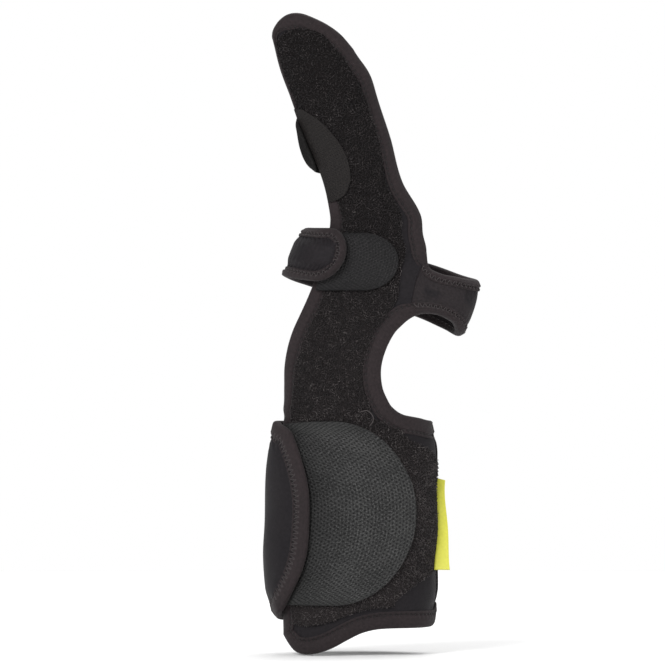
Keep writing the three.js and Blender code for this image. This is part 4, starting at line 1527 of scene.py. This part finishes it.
def hand_wrap(station, across, lift):
    """Points on the hand strap, from the body's outer edge round the back to the front."""
    station, across, lift = np.broadcast_arrays(*(np.asarray(a, float) for a in (station, across, lift)))
    middle = np.maximum(0, 1 - (2 * across - 1) ** 2)
    outer = lift + lift / STRAP * middle * read(HAND_STRAP, "puff", station)
    inside = np.clip(station, RAIL_NUDGE, HAND_END - RAIL_NUDGE)
    ahead = hand_rail(inside + RAIL_NUDGE, across) - hand_rail(inside - RAIL_NUDGE, across)
    upward = hand_rail(inside, across + RAIL_NUDGE) - hand_rail(inside, across - RAIL_NUDGE)
    rail = hand_rail(station, across)
    z = rail[..., 2]
    at_turn = ease(station, *HAND_FLARE["rise"]) * (1 - ease(station, *HAND_FLARE["fall"]))
    flare = HAND_FLARE["height"] * at_turn * np.maximum(1 - across / HAND_FLARE["reach"], 0) ** 2
    rail = rail + unit(np.cross(ahead, upward)) * (outer + flare)[..., None]
    root = form_point(angle_at(read(BODY_EDGES, "right", z), z) - HAND_ROOT_LAP, z, lift)
    on_front = (station - HAND_WEB) / (HAND_END - HAND_WEB)
    tab = form_point(mix(*HAND_TAB_ANGLES, on_front), z, STRAP_LIFT + outer)
    rail = mix(rail, root, (1 - ease(station, 0, HAND_ROOT_END))[..., None])
    return mix(rail, tab, ease(station, HAND_WEB, HAND_LANDED)[..., None])


def hand_place(along, across):
    """Station and share across of a place on the hand strap, whose end is round."""
    return along * (HAND_END - HAND_END_ROUND * (1 - oval(2 * across - 1, 1))), across


# %% Hand strap sheet
HAND_GRID = {"rows": 52, "columns": 260}
HAND_WIDTH = 21
HAND_LENGTH = 165
HAND_TURN = (8.5, 10.5)
HAND_SWELL = {"height": 0.9, "beyond": 4}
HAND_GATHER = {"height": 0.5, "round_back": 0.3}

along, across = np.meshgrid(np.linspace(0, 1, HAND_GRID["columns"]), half_turn(HAND_GRID["rows"]))
station, across = hand_place(along, across)
to_side = np.minimum(across, 1 - across) * HAND_WIDTH
to_end = (1 - along) * HAND_LENGTH
depth = np.minimum(to_side, to_end)
run = np.where(to_end < to_side, across * HAND_WIDTH, along * HAND_LENGTH)
on_tab = ease(station, *HAND_TURN)
swell_end = HAND_TAPE_WIDTH + HAND_SWELL["beyond"]
swell = on_tab * HAND_SWELL["height"] * ease(depth, HAND_TAPE_WIDTH, swell_end)
gathers = HAND_GATHER["height"] * puckers(depth, run, HAND_TAPE_WIDTH, STITCH_PITCH)
relief = swell + gathers * mix(HAND_GATHER["round_back"], 1, on_tab)
hand_outer = hand_wrap(station, across, STRAP + relief)
hand_strap = sheet_piece("hand_strap_neoprene", hand_outer, hand_wrap(station, across, 0), hand_jersey)
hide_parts("hand_strap")

# %% [markdown]
# ## One hem all the way round
# A narrow knitted tape is folded over every raw edge and sewn down near its inner border. It runs without a
# break: along the wrist strap, round the cut-out, along the hand strap, up the trough and round the tip,
# down the inner side and along the bottom. The tape swells between its fold and its seam, and each stitch
# pulls a small pucker. Where the trough's inner edge curls in, less of the tape shows. On the body a dark
# thread lies in the groove, and on the straps a paler one swings to and fro over the tape. A bevel on the
# sheets could not show the fold, the groove or the tape's inner border. Each stretch is therefore swept over
# its own sheet, and smooth rows carry it over from one sheet to the next.

# %% Edges that the hem follows
HAND_ROOT_TOP = 112.5
CUTOUT = (39.4, 81.5)
BOTTOM_END = 0.93
WRIST_ROOT = 0.035
HAND_ROOT = 0.1
LONG_STOPS = 500
ROUND_STOPS = 300
CUTOUT_STOPS = 400
SIDE_STOPS = 900


def strap_edge(wrap, place, root):
    """The edge of a strap: out along its lower side, round its end, and back along its upper side."""
    out = np.linspace(root, 1, LONG_STOPS)
    over = (1 - np.cos(np.linspace(0, np.pi, ROUND_STOPS)[1:-1])) / 2
    along = np.r_[out, np.ones_like(over), out[::-1]]
    across = np.r_[np.zeros_like(out), over, np.ones_like(out)]
    return edge_line(wrap, np.stack(place(along, across), -1), STRAP)


up_trough = np.linspace(body_share(HAND_ROOT_TOP), 1, LONG_STOPS)
over_tip = (1 + np.cos(np.linspace(0, np.pi, ROUND_STOPS)[1:])) / 2
down_side = np.linspace(1, 0, SIDE_STOPS)[1:]
bottom = np.linspace(0, BOTTOM_END, ROUND_STOPS)[1:]
rim = np.concatenate(
    [
        np.stack([np.ones_like(up_trough), up_trough], -1),
        np.stack([over_tip, np.ones_like(over_tip)], -1),
        np.stack([np.zeros_like(down_side), down_side], -1),
        np.stack([bottom, np.zeros_like(bottom)], -1),
    ]
)
cut_shares = np.linspace(*(body_share(level) for level in CUTOUT), CUTOUT_STOPS)
cutout = np.stack(body_place(np.ones_like(cut_shares), cut_shares), -1)
edges = {
    "body": edge_line(form_point, np.stack(body_place(*rim.T), -1), SHELL),
    "cutout": edge_line(form_point, cutout, SHELL),
    "wrist_strap": strap_edge(wrist_wrap, wrist_place, WRIST_ROOT),
    "hand_strap": strap_edge(hand_wrap, hand_place, HAND_ROOT),
}
print("edges in mm:", {name: round(edge["run"][-1]) for name, edge in edges.items()})

# %% Stretches of the hem
TAPES = {
    "body": {"width": 6.4, "under": 0.6, "pucker": 0.2, "seed": 11},
    "cutout": {"width": 7.2, "under": 0.6, "pucker": 0.2, "seed": 12},
    "wrist_strap": {"width": WRIST_TAPE_WIDTH, "under": 0.26, "pucker": 0.34, "seed": 13},
    "hand_strap": {"width": HAND_TAPE_WIDTH, "under": 0.26, "pucker": 0.15, "seed": 14},
}
HEM_ORDER = ("wrist_strap", "cutout", "hand_strap", "body")
CURLED = {"share": 0.62, "angles": (-57, -22), "heights": (128, 150)}

edge_angle, edge_z = edges["body"]["place"].T
curled = (1 - ease(edge_angle, *CURLED["angles"])) * ease(edge_z, *CURLED["heights"])
shown = {"body": 1 - CURLED["share"] * curled}
stretches = {}
for name, edge in edges.items():
    stretches[name] = hem_rows(edge, **TAPES[name], shown=shown.get(name, 1.0))
for first, second in zip(HEM_ORDER, HEM_ORDER[1:] + HEM_ORDER[:1]):
    stretches[first], stretches[second] = bridge(stretches[first], stretches[second])
print("hem:", sum(len(rows) for rows in stretches.values()), "rows in one loop")

# %% Hem pieces and their seams
STRAP_ZIGZAG = 1.25
SEAMS = {
    "body": {"material": sewing_thread},
    "cutout": {"material": sewing_thread},
    "wrist_strap": {"material": zigzag_thread, "zigzag": (1, 12), "pitch": STRAP_ZIGZAG},
    "hand_strap": {"material": zigzag_thread, "zigzag": (1, 9), "pitch": STRAP_ZIGZAG},
}

hems, stitches = {}, {}
for name, tape in TAPES.items():
    hems[name] = hem_piece(f"{name}_hem", stretches[name], tape["width"], hem_tape)
    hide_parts(f"{name}_binding")
for name, seam in SEAMS.items():
    stitches[name] = hem_stitches(f"{name}_stitches", stretches[name], **seam)

# %% Sheets that the hem goes with
HALFWAY = 0.5
HAND_STRAIGHT = 0.25
declare_sheet(body, body_outer, HALFWAY)
declare_sheet(wrist_strap, wrist_outer)
declare_sheet(hand_strap, hand_outer, HAND_STRAIGHT)

# %% [markdown]
# ## Finger strap
# The finger strap is a plain elastic band with no hem. It starts beside the trough's outer tape, goes round
# the back and comes over the inner side, where it shows as a dark crescent beside its hook leaf. A bent
# plate would look stiff, so the sheet narrows at the outer side, bows where it climbs and rolls its edges.

# %% Places on the finger strap
FINGER_BAND = {"middle": 165.5, "half": 13.5, "lean": 5.8, "start": 63.0, "end": 304.5}
FINGER_CORNERS = {"high": 17.0, "low": 1.0}
FINGER_BOW = table(
    "across bow",
    [
        (0, -1.1),
        (0.09, 1.2),
        (0.19, 2.1),
        (0.315, 2.1),
        (0.5, 1.2),
        (0.79, -1.2),
        (0.92, -2.5),
        (1, -3.8),
    ],
)
FINGER_BOWED = {"rise": (235, 265), "fall": (286, 302)}
FINGER_CLIMB = (268.0, 306.0)
FINGER_LIFT = 5.2
FINGER_TUCK = {"share": 0.85, "across": (0.7, 1)}
FINGER_NARROW = {"share": 0.86, "angles": (110, 180)}


def finger_place(along, across):
    """Angle and height of a place on the finger strap, which leans across the trough."""
    to_high = np.maximum(2 * across - 1, 0)
    to_low = np.maximum(1 - 2 * across, 0)
    end = FINGER_BAND["end"] - FINGER_CORNERS["high"] * to_high**3 - FINGER_CORNERS["low"] * to_low**6
    angle = mix(FINGER_BAND["start"], end, along)
    z = FINGER_BAND["middle"] + FINGER_BAND["half"] * (2 * across - 1)
    return angle, z + FINGER_BAND["lean"] * np.sin(np.radians(angle))


def finger_wrap(angle, across, z, lift):
    """Points on the finger strap: narrow at the outer side, and bowed where it climbs over the body."""
    at_bow = ease(angle, *FINGER_BOWED["rise"]) * (1 - ease(angle, *FINGER_BOWED["fall"]))
    bowed = at_bow * read(FINGER_BOW, "bow", across)
    tucked = 1 - FINGER_TUCK["share"] * ease(across, *FINGER_TUCK["across"])
    climb = ease(angle, *FINGER_CLIMB) * tucked
    points = form_point(angle, z, FINGER_LIFT * climb + bowed + lift)
    centre = read(FORM, "centre", z)
    narrow = mix(FINGER_NARROW["share"], 1, ease(angle, *FINGER_NARROW["angles"]))
    points[..., 0] = centre + (points[..., 0] - centre) * narrow
    return points


# %% Finger strap sheet
FINGER_GRID = {"rows": 44, "columns": 170}
ROLLED = {"depth": 0.35, "reach": 0.9, "inner_share": 0.6}
SELVEDGE = {"step": 0.1, "range": (0.8, 2.2)}
ELASTIC_UNEVEN = 0.07

along, across = np.meshgrid(crowded(FINGER_GRID["columns"]), crowded(FINGER_GRID["rows"]))
angle, z = finger_place(along, across)
to_side = np.minimum(across, 1 - across) * 2 * FINGER_BAND["half"]
rolled = ROLLED["depth"] * np.maximum(1 - to_side / ROLLED["reach"], 0) ** 2
uneven = ELASTIC_UNEVEN * lumps(angle, z, size=9.0, seed=6)
relief = SELVEDGE["step"] * ease(to_side, *SELVEDGE["range"]) + uneven
finger_outer = finger_wrap(angle, across, z, FINGER_STRAP - rolled + relief)
finger_inner = finger_wrap(angle, across, z, rolled * ROLLED["inner_share"])
finger_strap = sheet_piece("finger_strap_elastic", finger_outer, finger_inner, strap_elastic)
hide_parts("finger_strap")
declare_sheet(finger_strap, finger_outer, share=HALFWAY)

# %% [markdown]
# ## Side seam
# The wrist strap butts against the body's outer edge and is joined to it by a flat zigzag seam, which lies
# on the outer and the inner face. A bump would vanish in a close view, so each leg of the zigzag is a short
# thread from the body to the strap.

# %% Zigzag seam
ZIGZAG_PITCH = 1.5
ZIGZAG_REACH = 2.0
ZIGZAG_LIFT = 0.1
SEAM_ANGLE = 90.15
SEAM_RANGE = (-39.0, 32.0)


def zigzag_lines(body_side, strap_side, outward):
    """Thread legs that cross a seam to and fro between two rows of points."""
    odd = (np.arange(len(body_side) - 1) % 2)[:, None]
    starts = np.where(odd, strap_side[:-1], body_side[:-1])
    ends = np.where(odd, body_side[1:], strap_side[1:])
    share = np.linspace(0, 1, len(THREAD_TAPER))[:, None]
    arch = arched(share, rise=0.1, dip=0.35)
    lines = mix(starts[:, None], ends[:, None], share) + outward[:-1, None] * arch
    return lines, unit(np.cross(outward[:-1], ends - starts))


z = np.arange(*SEAM_RANGE, ZIGZAG_PITCH)
turn = np.degrees(ZIGZAG_REACH / read(FORM, "depth", z))
seams = []
for lift, way in ((SHELL + ZIGZAG_LIFT, 1), (-ZIGZAG_LIFT, -1)):
    body_side, strap_side = (form_point(SEAM_ANGLE + side * turn, z, lift) for side in (-1, 1))
    outward = unit(form_point(SEAM_ANGLE - turn, z, lift + way) - body_side)
    seams.append(zigzag_lines(body_side, strap_side, outward))
lines, across_lines = (np.concatenate(parts) for parts in zip(*seams))
seam_stitches = thread_piece("side_seam_stitches", lines, across_lines, THREAD_RADIUS, sewing_thread)

# %% [markdown]
# ## Side label
# A strip of yellow satin ribbon is folded in half and caught in the outer seam of the cuff. It is left bare.
# Two thin layers with a rounded fold between them bend more like cloth than one thick plate, and a slow wave
# along the strip keeps it from looking stamped.

# %% Label finish
LABEL_YELLOW = (0.53, 0.52, 0.035, 1)
LABEL_FADED = (0.6, 0.58, 0.09, 1)
LABEL_SHADED_YELLOW = (0.36, 0.38, 0.015, 1)
LABEL_SHADE = 0.35
LABEL_RELIEF = 0.04

label_satin, tree, shader, cloth, edge = finish("label_satin", roughness=0.42, specular=0.4, sheen=0.1)
ribs = place_group(tree, knit_ribs, {"Cloth": cloth, "Rib": 0.3, "Course": 0.36, "Wander": 0.1})
wear = {"Cloth": cloth, "Edge": edge, "Colour": LABEL_YELLOW, "Faded": LABEL_FADED}
faded = place_group(tree, cloth_wear, wear | {"Fade": 0.5, "Edge Reach": 0.8, "Lint": 0.0, "Mottle": 0.06})
# Painted shade: the valleys between the ribbon's ribs are darkened towards a deeper yellow.
shade = sums(tree, "MULTIPLY", ribs["Valley"], LABEL_SHADE)
plug(tree, shader.inputs["Base Color"], blend(tree, shade, faded["Colour"], LABEL_SHADED_YELLOW))
raise_bump(tree, shader, ribs["Height"], LABEL_RELIEF)
print("finish:", label_satin.name)

# %% Label piece
LABEL |= {"slope": 1.2, "reach_low": 6.5, "reach_high": 4.75, "hollow": 1.1, "layer": 0.3, "gap": 0.5}
LABEL_GRID = {"rows": 70, "columns": 60}
LABEL_SEAM = {"sunk": 0.6, "rise": 1.2}
LABEL_WAVE = {"set_back": 0.5, "height": 0.5, "turn": 4.2, "forward": 1.5, "power": 1.5}

up = np.linspace(0, 1, LABEL_GRID["rows"])
along, across = np.meshgrid(up, np.linspace(-1, 1, LABEL_GRID["columns"]), indexing="ij")
z = mix(LABEL["low"], LABEL["high"], along)
reach = mix(LABEL["reach_low"], LABEL["reach_high"], along) - LABEL["hollow"] * 4 * along * (1 - along)
out = reach * (1 - np.abs(across) ** 3)
seam = form_point(label_root(z), z, SHELL + LABEL_SEAM["rise"] * (1 - along) - LABEL_SEAM["sunk"])
wave = LABEL_WAVE["height"] * np.sin(along * LABEL_WAVE["turn"]) * out / reach
forward = LABEL_WAVE["forward"] * (1 - along) ** 2 * (out / reach) ** LABEL_WAVE["power"]
sway = -LABEL_WAVE["set_back"] + wave - forward
z = z - LABEL["slope"] * along**4 * out / reach


def ribbon_layer(half_gap, fold):
    """One face of the folded ribbon: out along the front, round the fold, and back along the rear."""
    side = half_gap * np.sign(across) * (1 - (1 - np.abs(across)) ** 6)
    return np.stack([seam[..., 0] + out * (reach + fold) / reach, seam[..., 1] + sway + side, z], -1)


half_gap = LABEL["gap"] / 2
label_outer = ribbon_layer(half_gap + LABEL["layer"], LABEL["layer"])
label = sheet_piece("label_ribbon", label_outer, ribbon_layer(half_gap, 0.0), label_satin)
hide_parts("side_label")
declare_sheet(label, label_outer)

# %% [markdown]
# ## Floor
# The floor is a plain pale disc under the lowest point of the body. It is part of the stage. It ends where
# the lamps still keep it white, so that it runs into the white surround without a horizon.

# %% Pale floor
FLOOR_RADIUS = 0.9
FLOOR_GAP = 0.0008
FLOOR_CORNERS = 96
FLOOR_LOOK = {"Base Color": (0.9, 0.9, 0.9, 1), "Roughness": 0.9, "Specular IOR Level": 0.1}

turn = np.linspace(0, TURN, FLOOR_CORNERS, endpoint=False)
level = np.full(FLOOR_CORNERS, cad_box[0].z - FLOOR_GAP)
ring = np.stack([FLOOR_RADIUS * np.cos(turn), FLOOR_RADIUS * np.sin(turn), level], -1)
floor_mesh = bpy.data.meshes.new("floor")
floor_mesh.from_pydata(ring.tolist(), [], [list(range(FLOOR_CORNERS))])
floor = bpy.data.objects.new("floor", floor_mesh)
bpy.context.scene.collection.objects.link(floor)
pale_floor = bpy.data.materials.new("pale_floor")
pale_floor.use_nodes = True
shader = pale_floor.node_tree.nodes["Principled BSDF"]
for socket, value in FLOOR_LOOK.items():
    shader.inputs[socket].default_value = value
floor_mesh.materials.append(pale_floor)
floor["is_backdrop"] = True
print("floor at", round(float(level[0]) / MM, 1), "mm")

# %% [markdown]
# ## Sizes and the end
# The sewn model may stand a little proud of the solids. Both boxes are printed.

# %% Write the sizes and finish
boxes = {"cad": cad_box, "visual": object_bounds()}
for name, box in boxes.items():
    print(name, "box in mm:", [[round(v / MM, 1) for v in corner] for corner in box])
